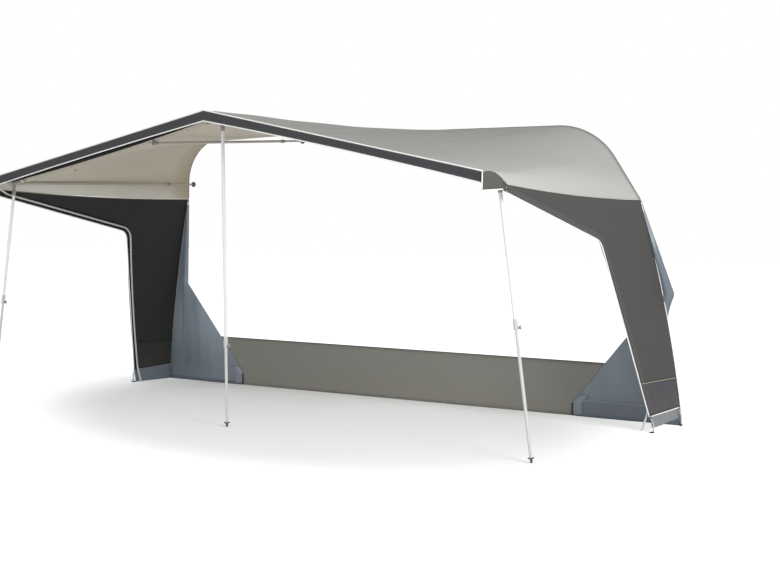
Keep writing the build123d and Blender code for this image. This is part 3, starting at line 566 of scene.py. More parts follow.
class Finish:
    """A material and its node tree."""

    def __init__(self, name, colour, roughness=0.7, **constants):
        self.material = bpy.data.materials.new(name)
        self.material.use_nodes = True
        self.tree = self.material.node_tree
        self.shader = self.tree.nodes["Principled BSDF"]
        self.shader.inputs["Base Color"].default_value = linear(colour)
        self.shader.inputs["Roughness"].default_value = roughness
        for socket, value in constants.items():
            self.shader.inputs[socket.replace("_", " ")].default_value = value
        self.place = add_node(self.tree, "ShaderNodeTexCoord").outputs["Object"]
        parts = add_node(self.tree, "ShaderNodeSeparateXYZ", sockets={0: self.place})
        self.x, self.y, self.z = [Value(self.tree, socket) for socket in parts.outputs]

    def feed(self, **sources):
        """Links varying values to the shader's sockets."""
        for name, value in sources.items():
            give(self.tree, self.shader.inputs[name.replace("_", " ")], value)

    def cloudy(self, size, detail=2.0, stretch=(1, 1, 1)):
        """Soft random patches of about this size, from 0 to 1."""
        placed = add_node(self.tree, "ShaderNodeMapping", sockets={"Vector": self.place, "Scale": stretch})
        sockets = {"Vector": placed.outputs[0], "Scale": 1 / size, "Detail": detail}
        noise_node = add_node(self.tree, "ShaderNodeTexNoise", sockets=sockets)
        return Value(self.tree, noise_node.outputs["Fac"])

    def mixed(self, share, first, second):
        """A colour between two others."""
        node = add_node(self.tree, "ShaderNodeMix", {"data_type": "RGBA"}, {0: share, 6: first, 7: second})
        return node.outputs[2]

    def mottled(self, tone, colour, patch):
        """A colour that goes a little darker and lighter with a tone."""
        return self.mixed(tone, linear(colour, 1 - patch), linear(colour, 1 + patch))

    def paint_light_and_shade(self, share, code):
        """Mixes painted light and shade over what already feeds the shader's Base Color."""
        under = self.shader.inputs["Base Color"].links[0].from_socket
        self.feed(Base_Color=self.mixed(share, under, linear(code)))

    def raised(self, height, distance, strength=0.5):
        """A bump made from a height between 0 and 1."""
        sockets = {"Height": height, "Distance": distance, "Strength": strength}
        return add_node(self.tree, "ShaderNodeBump", sockets=sockets).outputs["Normal"]

    def weave(self, axes, pitch):
        """Two crossed sets of threads, from 0 to 1."""
        turn = 2 * pi / pitch
        first, second = [getattr(self, axis) for axis in axes]
        return 0.5 + 0.25 * ((first * turn).sine() + (second * turn).sine())


THREAD_PITCH = 0.0016
DIRT = "#8a8272"


def cloth_finish(name, colour, axes, roughness=0.78, dirt=0.0, patch=0.06, sheen=0.18):
    """Coated awning cloth: a fine weave, soft patches of tone, fold lines and a little dirt."""
    finish = Finish(name, colour, roughness, Specular_IOR_Level=sheen)
    tone = finish.cloudy(0.7, 3.0)
    grain = finish.cloudy(0.004, 1.0)
    shade = finish.mottled(tone, colour, patch)
    shade = finish.mixed(grain * 0.12, shade, linear(colour, 0.75))
    if dirt:
        low = 1 - finish.z.between(0.0, 0.55)
        shade = finish.mixed(low * dirt * finish.cloudy(0.09, 4.0), shade, linear(DIRT))
    height = finish.weave(axes, THREAD_PITCH) * 0.16 + finish.cloudy(0.5) * 0.84
    finish.feed(Base_Color=shade, Roughness=roughness - 0.08 + tone * 0.16,
                Normal=finish.raised(height, 0.006))
    return finish


def plain_finish(name, colour, roughness, patch=0.05, bump=0.0002, **constants):
    """Moulded plastic, rubber or metal with a fine grain and slight patches of tone."""
    finish = Finish(name, colour, roughness, **constants)
    tone = finish.cloudy(0.05, 3.0)
    shade = finish.mottled(tone, colour, patch)
    grain = finish.cloudy(0.002)
    finish.feed(Base_Color=shade, Roughness=roughness - 0.05 + tone * 0.1,
                Normal=finish.raised(grain, bump, 0.4))
    return finish


def flap_finish():
    """Soft blue-grey plastic with glossy streaks and a darker hem along its foot; painted light lifts the
    left flap's upper part, and the right flap is darker below its low tape.
    """
    finish = Finish("draught_flap_plastic", "#5d656c", 0.34)
    tone = finish.cloudy(0.4, 3.0, (2, 1, 1))
    streaks = tone.between(0.2, 0.8)
    shade = finish.mixed(streaks, linear("#707a84"), linear("#7c8791"))
    right = finish.x.between(-0.5, 0.5)
    # Painted light: the left flap's upper part is lighter.
    painted_light_left = (1 - right) * finish.z.between(0.15, 0.6)
    shade = finish.mixed(painted_light_left, shade, finish.mixed(streaks, linear("#8995a0"), linear("#94a1ad")))
    shade = finish.mixed(right * (1 - finish.z.between(0.1, 0.2)), shade, linear("#667079"))
    shade = finish.mixed(1 - finish.z.between(0.03, 0.036), shade, linear("#5f6973"))
    creases = finish.cloudy(0.5, 3.0, (3, 1, 1))
    finish.feed(Base_Color=shade, Roughness=0.28 + tone * 0.2, Normal=finish.raised(creases, 0.008))
    return finish


ROOF_OUTER = cloth_finish("roof_cloth_outer", "#b0b0ac", "xy", patch=0.04, sheen=0.02)
CEILING = cloth_finish("roof_cloth_inner", "#ded5c3", "xy", patch=0.04)
# Painted shade darkens the roof's top from the apex over most of its right half, and painted light lifts the
# lower part of its right end.
ROOF_OUTER.paint_light_and_shade(ROOF_OUTER.x.between(-0.2, 0.5) * (1 - ROOF_OUTER.x.between(1.5, 2.1)), "#a9a9a5")
ROOF_OUTER.paint_light_and_shade(ROOF_OUTER.x.between(1.2, 1.8) * (1 - ROOF_OUTER.z.between(1.86, 2.05)), "#bbbbb7")
# Painted light makes the ceiling paler where it hangs low at its ends, and painted shade darkens it near the
# rail, where the caravan wall, which is not modelled, would shade it.
CEILING.paint_light_and_shade((1 - CEILING.z.between(1.82, 1.93)) * 0.85, "#e9e8dd")
CEILING.paint_light_and_shade(CEILING.y.between(0.9, 1.2) * 0.85, "#c8bca4")
SLATE = cloth_finish("valance_cloth_slate", "#444447", "xz")
CAP_GREY = cloth_finish("cap_cloth_grey", "#595a55", "yz")
CHARCOAL = cloth_finish("wing_cloth_outer", "#4b4a48", "yz", patch=0.05)
CHARCOAL_INNER = cloth_finish("wing_cloth_inner", "#373737", "yz", patch=0.05)
HEM_OUTER = cloth_finish("hem_band_outer", "#525150", "yz")
HEM_INNER = cloth_finish("hem_band_inner", "#262626", "yz")
FOOT_OUTER = cloth_finish("foot_cloth_outer", "#46474c", "yz", dirt=0.25)
FOOT_INNER = cloth_finish("foot_cloth_inner", "#37383a", "yz", dirt=0.2)
SKIRT_GREY = cloth_finish("skirt_cloth", "#8e8d87", "xz", roughness=0.7, dirt=0.2)
MUD_OUTER = cloth_finish("mud_flap_outer", "#818589", "yz", roughness=0.5, dirt=0.35)
MUD_INNER = cloth_finish("mud_flap_inner", "#7c8894", "yz", roughness=0.5, dirt=0.3)
WHITE_PIPING = plain_finish("white_piping", "#f4f4f1", 0.45)
BEIGE_PIPING = plain_finish("beige_piping", "#b9b49a", 0.5)
THREAD = plain_finish("stitching", "#7b7b7a", 0.7)
DARK_THREAD = plain_finish("dark_stitching", "#2b2b2a", 0.7)
DARK_SEAM = plain_finish("dark_seam", "#4d4c48", 0.6)
TUBE_WHITE = plain_finish("frame_tube_paint", "#e2e2de", 0.32, patch=0.03, bump=0.0001)
LEG_GREY = plain_finish("upright_leg_metal", "#c6c7c4", 0.3, patch=0.03, bump=0.0001)
# The roof poles' beige grey, darker than the other tubes, is painted shade under the roof.
POLE_SHADE_GREY = plain_finish("roof_pole_shade_grey", "#aeaba0", 0.4, patch=0.03, bump=0.0001)
WING_TUBE_GREY = plain_finish("wing_tube_paint", "#c9c9c5", 0.35, patch=0.03)
JOINT_GREY = plain_finish("joint_plastic", "#a5a298", 0.45)
HEAD_GREY = plain_finish("upright_head_plastic", "#939391", 0.45)
CUFF_GREY = plain_finish("pole_cuff_plastic", "#8f8b80", 0.5)
CLAMP_GREY = plain_finish("clamp_plastic", "#c0c1be", 0.4)
KNOB_GREY = plain_finish("knob_plastic", "#8d8f90", 0.42)
FOOT_PLASTIC = plain_finish("foot_plastic", "#4a4b4c", 0.5)
PAD_RUBBER = plain_finish("pad_rubber", "#8d887c", 0.65)
PIN_STEEL = plain_finish("pin_steel", "#b5b5b2", 0.3, Metallic=1.0)
LOOP_RUBBER = plain_finish("loop_rubber", "#2a2a2a", 0.6)
BEAD_GREY = plain_finish("rail_bead_plastic", "#4c4b48", 0.5)
CLEAR_PLASTIC = plain_finish("tensioner_plastic", "#dfe6e8", 0.15, Transmission_Weight=0.7, IOR=1.45)
FLAP_PLASTIC = flap_finish()
FLAP_TAPE = plain_finish("draught_flap_tape", "#7f8993", 0.3)

# Finishes for the solids that are shown as they are, by the start of the node's name
SOLID_FINISHES = {
    "front_bar": TUBE_WHITE,
    "canopy_bar": TUBE_WHITE,
    "canopy_arms": JOINT_GREY,
    "upright_tube": TUBE_WHITE,
    "upright_leg": LEG_GREY,
    "upright_head": HEAD_GREY,
    "upright_clamp": CLAMP_GREY,
    "upright_screw": KNOB_GREY,
    "upright_foot": FOOT_PLASTIC,
    "roof_pole_tubes": POLE_SHADE_GREY,
    "roof_pole_slider": POLE_SHADE_GREY,
    "roof_pole_cuffs": CUFF_GREY,
    "roof_pole_pad": PAD_RUBBER,
    "apex_joint": JOINT_GREY,
    "corner_joint": JOINT_GREY,
    "bar_clamps": CUFF_GREY,
    "wing_tube": WING_TUBE_GREY,
    "hinge_pins": PIN_STEEL,
    "rail_bead": BEAD_GREY,
    "skirt_bead": BEAD_GREY,
    "peg_loops": LOOP_RUBBER,
}
for node_name, node_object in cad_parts.items():
    for start, finish in SOLID_FINISHES.items():
        if node_name.startswith(start):
            for material_slot in node_object.material_slots:
                material_slot.material = finish.material


# Roof: one sheet from the left wing's seam over the ridge to the right wing's seam

def roof_stations(side):
    """Matching points on the rear bead and on the front edge, from the ridge out to the wing's seam."""
    stations = []
    for share in steps(TOP_STEPS):
        rail = side.at(side.arc_start_x() * share, RAIL_Y, RAIL_TOP)
        front_x = FOLD_START_X * share
        stations.append((rail, side.at(front_x, -AWNING_DEPTH, gable_z(front_x))))
    for share in steps(BEND_STEPS)[1:]:
        front_x = FOLD_START_X + (GABLE_HALF_WIDTH - FOLD_START_X) * share
        stations.append((side.arc_point(share), side.at(front_x, -AWNING_DEPTH, gable_z(front_x))))
    bend_end = side.arc_point(1)
    rail_end = side.at(side.rail_x, RAIL_Y, side.seam_z)
    for share in steps(FALL_STEPS)[1:]:
        stations.append((bend_end.lerp(rail_end, share), hood_corner(side, share)))
    return stations


def roof_sag(x, share):
    """How far the cloth hangs below a straight line from bead to front; the ridge stands above it."""
    ridge = exp(-(x / RIDGE_REACH) ** 2)
    hump = smooth_hump(share)
    return ROOF_SAG * hump * (1 - ridge) - RIDGE_CREST * min(4 * hump, 1) * ridge


def roof_point(rail, front, share, creased, stand=0.0):
    """A place on the roof's upper face, or at a height above it."""
    point = rail.lerp(front, share)
    hump = smooth_hump(share)
    slack = hump * ROOF_SLACK * wrinkle((point.x * 0.6, point.y, 0), 0.42)
    crease = CREASE_DEPTH * hump if creased else 0
    point.z += stand + slack - crease - roof_sag(point.x, share)
    return point


def roof_rows():
    stations = roof_stations(LEFT)[::-1] + roof_stations(RIGHT)[1:]
    middle = len(stations) // 2
    rows = []
    for number, (rail, front) in enumerate(stations):
        creased = abs(number - middle) in CREASE_STATIONS
        rows.append([roof_point(rail, front, share, creased) for share in steps(DEPTH_STEPS)])
    return rows


cloth("roof_canopy", roof_rows(), (0, 0, 1), [ROOF_OUTER, CEILING], ["roof_left", "roof_right"])


# Sewn under the roof: pockets that hold the front bars, and a dark strip behind the left valance, partly its
# dark inner face and partly painted shade

def roof_height(side, x, y):
    """The height of the roof over a place, between the stations on its two sides."""
    share = (RAIL_Y - y) / (RAIL_Y + AWNING_DEPTH)
    line = [rail.lerp(front, share) for rail, front in roof_stations(side)[:TOP_STEPS + BEND_STEPS + 1]]
    for near, far in zip(line, line[1:]):
        if abs(near.x) <= x <= abs(far.x):
            part = (x - abs(near.x)) / (abs(far.x) - abs(near.x))
            return near.lerp(far, part).z - roof_sag(x, share)
    return line[-1].z


def pocket_rows(side, start_x, end_x):
    """A strip that hangs from the roof, passes under the front bar and goes back up."""
    rows = []
    for x in spread(start_x, end_x, int((end_x - start_x) / POCKET_STEP)):
        axis = bar_point(side, x)
        front_y = axis.y - POCKET_RADIUS
        back_y = axis.y + POCKET_RADIUS
        front_top = roof_height(side, x, front_y) - UNDER_ROOF
        back_top = roof_height(side, x, back_y) - UNDER_ROOF
        row = [Vector((axis.x, front_y, z)) for z in spread(front_top, axis.z, 4)]
        slack = POCKET_SLACK + POCKET_RIPPLE * wrinkle((x, side.sign, 0), 0.3, 5.0)
        for turn in steps(8)[1:]:
            angle = pi * turn
            low = POCKET_RADIUS + slack * sin(angle)
            row.append(axis + Vector((0, -cos(angle) * POCKET_RADIUS, -sin(angle) * low)))
        row += [Vector((axis.x, back_y, z)) for z in spread(axis.z, back_top, 4)[1:]]
        rows.append(row)
    return rows


def dark_face_and_shade_rows():
    """Dark cloth from the roof down to just below the left valance: partly its inner face, partly painted
    shade behind it.
    """
    rows = []
    for share in steps(60):
        x = DARK_FACE_AND_SHADE_START_X + (DARK_FACE_AND_SHADE_END_X - DARK_FACE_AND_SHADE_START_X) * share
        top = roof_height(LEFT, x, DARK_FACE_AND_SHADE_Y) - UNDER_ROOF
        low = gable_z(x) - TUCK - VALANCE_DROP - DARK_FACE_AND_SHADE_HANG * smooth_hump(share) ** 0.8
        rows.append([LEFT.at(x, DARK_FACE_AND_SHADE_Y, z) for z in spread(top, low, 5)])
    return rows


for side in SIDES:
    for number, (start_x, end_x) in enumerate(POCKET_RUNS):
        cloth(f"bar_pocket_{side.name}_{number + 1}", pocket_rows(side, start_x, end_x),
              (0, 0, -1), [CEILING], thickness=THIN_CLOTH)
# Only behind the left valance: a dark strip, partly its inner face and partly painted shade.
cloth("valance_dark_face_and_shade", dark_face_and_shade_rows(), (0, -1, 0), [HEM_INNER], thickness=THIN_CLOTH)


# Valance along the gable's front edge, and the piping above and below it

def valance_point(x, share):
    """A point on the valance's outer face, from its top to its bottom edge."""
    out = abs(x) / GABLE_HALF_WIDTH
    bow = (VALANCE_BOW_RIGHT if x > 0 else VALANCE_BOW_LEFT) * smooth_hump(out)
    drop = TUCK + (VALANCE_DROP - bow) * share
    flare = VALANCE_FLARE * share * wrinkle((x, 0, 0), 0.35, 3.0) * smooth_hump(min(out, 1))
    return Vector((x, -AWNING_DEPTH + flare, gable_z(x) - drop))


def valance_stops(count=120):
    return spread(-GABLE_HALF_WIDTH, GABLE_HALF_WIDTH, count)


def cap_top(side, share):
    return hood_corner(side, share) + side.at(CLOTH, 0, -CLOTH * 1.6)


def cap_bottom(side, share):
    height = CAP_BOTTOM_FRONT + (CAP_BOTTOM_REAR - CAP_BOTTOM_FRONT) * share / CAP_SHARE
    edge = hood_corner(side, share)
    return Vector((edge.x, edge.y, height)) + side.at(CLOTH, 0, 0)


def cap_rows(side):
    """The cap's cloth, full in its middle, with a sewn fold across it."""
    rows = []
    for share in steps(16):
        along = CAP_SHARE * share
        row = []
        for fall in steps(24):
            point = cap_top(side, along).lerp(cap_bottom(side, along), fall)
            fold = CAP_FOLD * exp(-((fall - CAP_FOLD_PLACE) / CAP_FOLD_WIDTH) ** 2)
            fullness = CAP_FULLNESS * smooth_hump(share) * smooth_hump(fall)
            row.append(point + side.at(fold + fullness, 0, 0))
        rows.append(row)
    return rows


def gusset_rows(side):
    """Cloth that closes the hood behind the cap's end, down to the wing's front corner."""
    rows = []
    for share in steps(8):
        along = CAP_SHARE - GUSSET_OVERLAP + (1 + GUSSET_OVERLAP - CAP_SHARE) * share
        top = hood_corner(side, along) - side.at(GUSSET_INSET, 0, 0) - Vector((0, 0, GUSSET_DROP))
        low_z = CAP_BOTTOM_REAR + (WING_CORNER_BOTTOM - CAP_BOTTOM_REAR) * share
        low = Vector((top.x, top.y, low_z))
        rows.append([top.lerp(low, fall) for fall in steps(4)])
    return rows


def front_edging_lines():
    """Piping above and below the valance, down the caps' front edges and along their foot."""
    drop = PIPING_RADIUS + SEAT_GAP
    back = Vector((0, CLOTH / 2, 0))
    low = Vector((0, 0, -drop))
    above = Vector((0, 0, TUCK + drop))
    lines = [[valance_point(x, 0) + back + above for x in valance_stops(60)],
             [valance_point(x, 1) + back + low for x in valance_stops()]]
    for side in SIDES:
        ahead = Vector((0, -drop, 0))
        corner = side.at(GABLE_HALF_WIDTH + CLOTH, -AWNING_DEPTH, GABLE_CORNER_Z)
        lines.append([corner + ahead, cap_bottom(side, 0) + ahead + low])
        lines.append([cap_bottom(side, CAP_SHARE * share) + low for share in steps(10)])
    return lines


valance_rows = [[valance_point(x, share) for share in steps(6)] for x in valance_stops()]
cloth("valance_strip", valance_rows, (0, -1, 0), [SLATE], ["valance_left", "valance_right"])
for side in SIDES:
    cloth("corner_cap_cloth_" + side.name, cap_rows(side), (side.sign, 0, 0), [CAP_GREY],
          ["corner_cap_" + side.name])
for side in SIDES:
    cloth("hood_gusset_" + side.name, gusset_rows(side), (side.sign, 0, 0), [HEM_OUTER],
          thickness=GUSSET_CLOTH)
tubes("front_edging", front_edging_lines(), PIPING_RADIUS, WHITE_PIPING,
      nodes=["front_piping"])


# Wings

def wing_front_line(side, inset=0.0, bottom_z=SEAM_Z):
    """The wing's front edge as points in Y and Z, moved into the cloth by an inset."""
    top = Vector((HOOD_CORNER_Y, WING_CORNER_BOTTOM))
    elbow = Vector((side.elbow_y, side.elbow_z))
    foot = Vector((side.front_edge_y(bottom_z), bottom_z))
    above = (elbow - top).normalized()
    above = Vector((-above.y, above.x)) * inset
    behind = (foot - elbow).normalized()
    behind = Vector((-behind.y, behind.x)) * inset
    if inset:
        turned = (above + behind) / (1 + above.dot(behind) / inset ** 2)
    else:
        turned = Vector((0, 0))
    corners = [top + above, elbow + turned, foot + behind]
    flat = [Vector((0, point.x, point.y)) for point in corners]
    return [Vector((point.y, point.z)) for point in rounded(flat, ELBOW_RADIUS + inset)]


def split_at_elbow(side, line, count):
    """Two runs of even points: down to the middle of the elbow's arc, and on down the leg."""
    elbow = Vector((side.elbow_y, side.elbow_z))
    middle = min(range(len(line)), key=lambda place: (line[place] - elbow).length)
    return resampled(line[:middle + 1], count), resampled(line[middle:], count)


def wing_rows(side):
    """Rows from the wing's front edge back to its seam and its rear edge."""
    front = [Vector((HOOD_CORNER_Y, side.seam_sag_z(1) - CLOTH))] + wing_front_line(side)
    upper, lower = split_at_elbow(side, front, WING_STEPS)
    back_upper = [Vector((HOOD_CORNER_Y * share, side.seam_sag_z(share) - CLOTH))
                  for share in spread(1, WING_REAR_Y / HOOD_CORNER_Y, WING_STEPS)]
    heights = spread(back_upper[-1].y, SEAM_Z + FOOT_GAP, WING_STEPS)
    back_lower = [Vector((WING_REAR_Y, z)) for z in heights]
    rows = []
    for near, far in zip(upper + lower[1:], back_upper + back_lower[1:]):
        row = []
        for share in steps(22):
            flat = near.lerp(far, share)
            slack = WING_SLACK * smooth_hump(share) * wrinkle((0, flat.x, flat.y), 0.3, 7.0)
            row.append(side.wing_point(flat.x, flat.y, slack))
        rows.append(row)
    return rows


def panel_rows(side, near, far, rows_count, columns, ripple, size):
    """Rows over a four-sided panel of the wing, between the tops and feet of its two edges."""
    rows = []
    for fall in steps(rows_count):
        start = Vector(near[0]).lerp(Vector(near[1]), fall)
        end = Vector(far[0]).lerp(Vector(far[1]), fall)
        row = []
        for share in steps(columns):
            flat = start.lerp(end, share)
            wave = ripple * fall * wrinkle((0, flat.x, flat.y * 0.25), size, 11.0)
            row.append(side.wing_point(flat.x, flat.y, wave))
        rows.append(row)
    return rows


def hem_rows(side, inset):
    """A hem along the wing's front edge, at a distance inside the wing's outer face."""
    edge = resampled(wing_front_line(side, HEM_EDGE, HEM_FRONT_Z), 90)
    inner = resampled(wing_front_line(side, HEM_BAND, HEM_FRONT_Z), 90)
    return [side.on_wing([start.lerp(end, share) for share in steps(4)], inset)
            for start, end in zip(edge, inner)]


for side in SIDES:
    name = side.name
    outwards = (side.sign, 0, 0)
    seam_front = (side.front_edge_y(SEAM_Z), SEAM_Z)
    seam_rear = (WING_REAR_Y, SEAM_Z)
    hem_front = (side.hem_front_y, HEM_FRONT_Z)
    hem_rear = (WING_REAR_Y, HEM_REAR_Z)
    cloth("wing_cloth_" + name, wing_rows(side), outwards, [CHARCOAL, CHARCOAL_INNER],
          ["wing_" + name])
    foot_rows = panel_rows(side, (seam_front, hem_front), (seam_rear, hem_rear), 10, 16, FOOT_RIPPLE, 0.12)
    cloth("foot_panel_cloth_" + name, foot_rows, outwards, [FOOT_OUTER, FOOT_INNER],
          ["wing_foot_" + name])
    hang_front = (side.front_edge_y(side.hang_front), side.hang_front)
    mud_front = ((side.hem_front_y, HEM_FRONT_Z - FOOT_GAP), hang_front)
    mud_rear = ((WING_REAR_Y, HEM_REAR_Z - FOOT_GAP), (WING_REAR_Y, side.hang_rear))
    mud_rows = panel_rows(side, mud_front, mud_rear, 12, 60, MUD_RIPPLE, 0.07)
    cloth("mud_flap_cloth_" + name, mud_rows, outwards, [MUD_OUTER, MUD_INNER],
          ["mud_flap_" + name])
    edge_line = resampled(side.on_wing(wing_front_line(side, -PIPING_RADIUS, HEM_FRONT_Z), CLOTH / 2), 110)
    hem_line = side.on_wing(flat_run(hem_front, hem_rear, 20), -HEM_PIPING_STAND)
    rear_y = WING_REAR_Y - REAR_PIPING_GAP
    rear_run = flat_run((rear_y, side.seam_z - REAR_PIPING_DROP), (rear_y, side.hang_rear), 40)
    rear_line = side.on_wing(rear_run, -REAR_PIPING_STAND)
    tubes("wing_edging_" + name, [edge_line, hem_line, rear_line], PIPING_RADIUS,
          WHITE_PIPING, nodes=["wing_piping_" + name])
    cloth("hem_band_outer_" + name, hem_rows(side, -HEM_STAND), outwards, [HEM_OUTER],
          thickness=THIN_CLOTH)
    cloth("hem_band_inner_" + name, hem_rows(side, CLOTH + HEM_STAND), (-side.sign, 0, 0),
          [HEM_INNER], thickness=THIN_CLOTH)
    seam_run = flat_run(seam_front, seam_rear, 30)
    tubes("foot_seam_" + name, [side.on_wing(seam_run, -SEAM_STAND)], FOOT_SEAM_RADIUS,
          BEIGE_PIPING, 8)
    tubes("foot_seam_inner_" + name, [side.on_wing(seam_run, CLOTH + SEAM_STAND)],
          FOOT_SEAM_INNER_RADIUS, DARK_SEAM, 8)

# Small things on the cloth: pale seams, eyelets, and clear tensioners with their hooks
for side in SIDES:
    seam_run = [(HOOD_CORNER_Y * share, side.seam_sag_z(share) - ROOF_SEAM_DROP)
                for share in spread(WING_REAR_Y / HOOD_CORNER_Y, ROOF_SEAM_FRONT, 50)]
    tubes("roof_seam_" + side.name, [side.on_wing(seam_run, CLOTH + ROOF_SEAM_STAND)],
          ROOF_SEAM_RADIUS, BEIGE_PIPING, 6)

eyelet_lines = []
for side in SIDES:
    for x, y in EYELET_SPOTS:
        centre = side.at(x, y, roof_height(side, x, y) - CLOTH - EYELET_DROP)
        eyelet_lines.append(ring_line(centre, Vector((1, 0, 0)), Vector((0, 1, 0.05)), EYELET_RADIUS))
tubes("roof_eyelets", eyelet_lines, EYELET_WIRE, BEAD_GREY, 8)


def tensioner_rows(side, top, low):
    """A clear strap that bellies outwards below the hem and narrows towards its foot."""
    across = Vector((0, 1, 0))
    rows = []
    for fall in steps(10):
        middle = top.lerp(low, fall) + side.at(TENSIONER_BELLY * smooth_hump(fall), 0, 0)
        width = TENSIONER_WIDTH * (1 - TENSIONER_TAPER * fall)
        rows.append([middle + across * (width * (part - 0.5)) for part in steps(4)])
    return rows


def top_hook_line(side, top):
    """Half a turn of wire through the tensioner's top."""
    line = []
    for turn in steps(10):
        rise = HOOK_SIZE + HOOK_SIZE * cos(pi * turn)
        line.append(top + side.at(HOOK_OUT, 0, rise) + Vector((0, -HOOK_SIZE * sin(pi * turn), 0)))
    return line


def foot_hook_line(side, low):
    """A bent wire from the tensioner's foot down to the floor."""
    start = low + side.at(HOOK_OUT, -0.006, 0.004)
    bends = ((0, 0, 0), (0, -0.016, 0.006), (0, -0.022, -0.004), (0, -0.02, -0.0125))
    return [start + Vector(bend) for bend in bends]


hook_lines = []
for side in SIDES:
    stops = ((side.hem_front_y + 0.012, HEM_FRONT_Z - 0.01, side.front_edge_y(0) - 0.012),
             (WING_REAR_Y - 0.03, HEM_REAR_Z - 0.02, WING_REAR_Y - 0.04))
    for number, (y, z, foot_y) in enumerate(stops):
        top = side.wing_point(y, z, -0.004)
        low = side.wing_point(foot_y, TENSIONER_FOOT_Z, -0.008)
        cloth(f"tensioner_{side.name}_{number + 1}", tensioner_rows(side, top, low),
              (side.sign, 0, 0), [CLEAR_PLASTIC], thickness=TENSIONER_CLOTH)
        hook_lines += [top_hook_line(side, top), foot_hook_line(side, low)]
tubes("tensioner_hooks", hook_lines, HOOK_WIRE, LOOP_RUBBER, 8)


# Stitches

THREAD_RADIUS = 0.0006
STITCH_SOCKETS = {
    "Seams": ("INPUT", "NodeSocketGeometry"),
    "Spacing": ("INPUT", "NodeSocketFloat"),
    "Stitch length": ("INPUT", "NodeSocketFloat"),
    "Thread radius": ("INPUT", "NodeSocketFloat"),
    "Stitches": ("OUTPUT", "NodeSocketGeometry"),
}


def stitch_tree(finish):
    """Geometry nodes that lay short threads at even distances along the edges of a mesh.

    Returns the tree and the identifiers of its named sockets.
    """
    tree = bpy.data.node_groups.new("stitch_rows", "GeometryNodeTree")
    identifiers = {}
    for name, (in_out, kind) in STITCH_SOCKETS.items():
        socket = tree.interface.new_socket(name=name, in_out=in_out, socket_type=kind)
        identifiers[name] = socket.identifier
    given = add_node(tree, "NodeGroupInput").outputs
    curve = add_node(tree, "GeometryNodeMeshToCurve", sockets={"Mesh": given["Seams"]})
    spaced = add_node(tree, "GeometryNodeResampleCurve", {"mode": "LENGTH"},
                      {"Curve": curve.outputs[0], "Length": given["Spacing"]})
    sizes = {"Vertices": 5, "Radius": given["Thread radius"], "Depth": given["Stitch length"]}
    thread = add_node(tree, "GeometryNodeMeshCylinder", {"fill_type": "NGON"}, sizes)
    along = add_node(tree, "GeometryNodeInputTangent")
    turned = add_node(tree, "FunctionNodeAlignRotationToVector", {"axis": "Z"}, {"Vector": along.outputs[0]})
    laid = add_node(tree, "GeometryNodeInstanceOnPoints",
                    sockets={"Points": spaced.outputs[0], "Instance": thread.outputs["Mesh"],
                             "Rotation": turned.outputs[0]})
    whole = add_node(tree, "GeometryNodeRealizeInstances", sockets={"Geometry": laid.outputs[0]})
    coloured = add_node(tree, "GeometryNodeSetMaterial",
                        sockets={"Geometry": whole.outputs[0], "Material": finish.material})
    add_node(tree, "NodeGroupOutput", sockets={"Stitches": coloured.outputs[0]})
    return tree, identifiers


def stitched(name, lines, finish, spacing=0.012, length=0.007):
    """One piece of stitches along several lines of points."""
    points = []
    edges = []
    for line in lines:
        first = len(points)
        points += [tuple(point) for point in line]
        edges += [(first + step, first + step + 1) for step in range(len(line) - 1)]
    mesh = bpy.data.meshes.new(name)
    mesh.from_pydata(points, edges, [])
    piece = finish_mesh(name, mesh, [finish])
    tree, identifiers = stitch_tree(finish)
    sewing = piece.modifiers.new("Stitches", "NODES")
    sewing.node_group = tree
    sewing[identifiers["Spacing"]] = spacing
    sewing[identifiers["Stitch length"]] = length
    sewing[identifiers["Thread radius"]] = THREAD_RADIUS
    fit(frozen(piece))


def hem_stitch_lines(side, inset):
    """A line of stitches near each edge of the wing's hem."""
    lines = []
    for place in HEM_STITCH_PLACES:
        flat = resampled(wing_front_line(side, place, HEM_FRONT_Z + HEM_STITCH_END), 160)
        lines.append(side.on_wing(flat, inset))
    return lines


def roof_stitch_line(side, station):
    """Stitches along one of the roof's creases."""
    rail, front = roof_stations(side)[station]
    return [roof_point(rail, front, share, True, THREAD_RADIUS) for share in spread(0.01, 0.99, 60)]


def valance_stitch_line(share):
    ahead = Vector((0, -0.0003, 0))
    return [valance_point(x, share) + ahead for x in valance_stops()]


# Dark stitches along the left pockets' seam; their long dashes also paint the shadow line under the front
# bar.
def pocket_seam_and_shadow_line(start_x, end_x):
    return [bar_point(LEFT, x) + POCKET_SEAM for x in spread(start_x, end_x, 40)]


for side in SIDES:
    for face, inset, thread in (("outer", -HEM_STITCH_STAND, THREAD),
                                ("inner", CLOTH + HEM_STITCH_STAND, DARK_THREAD)):
        stitched(f"hem_stitches_{face}_{side.name}", hem_stitch_lines(side, inset), thread)
stitched("roof_stitches",
         [roof_stitch_line(side, station) for side in SIDES for station in CREASE_STATIONS[:2]], THREAD)
stitched("valance_stitches", [valance_stitch_line(share) for share in (0.1, 0.9)], THREAD)
# The left pockets' dark stitches, which also paint the shadow line under the bar.
stitched("pocket_stitches", [pocket_seam_and_shadow_line(*run) for run in POCKET_RUNS], DARK_THREAD,
         spacing=0.06, length=0.045)


# Draught flaps between the wings and the straight ends of the rear bead

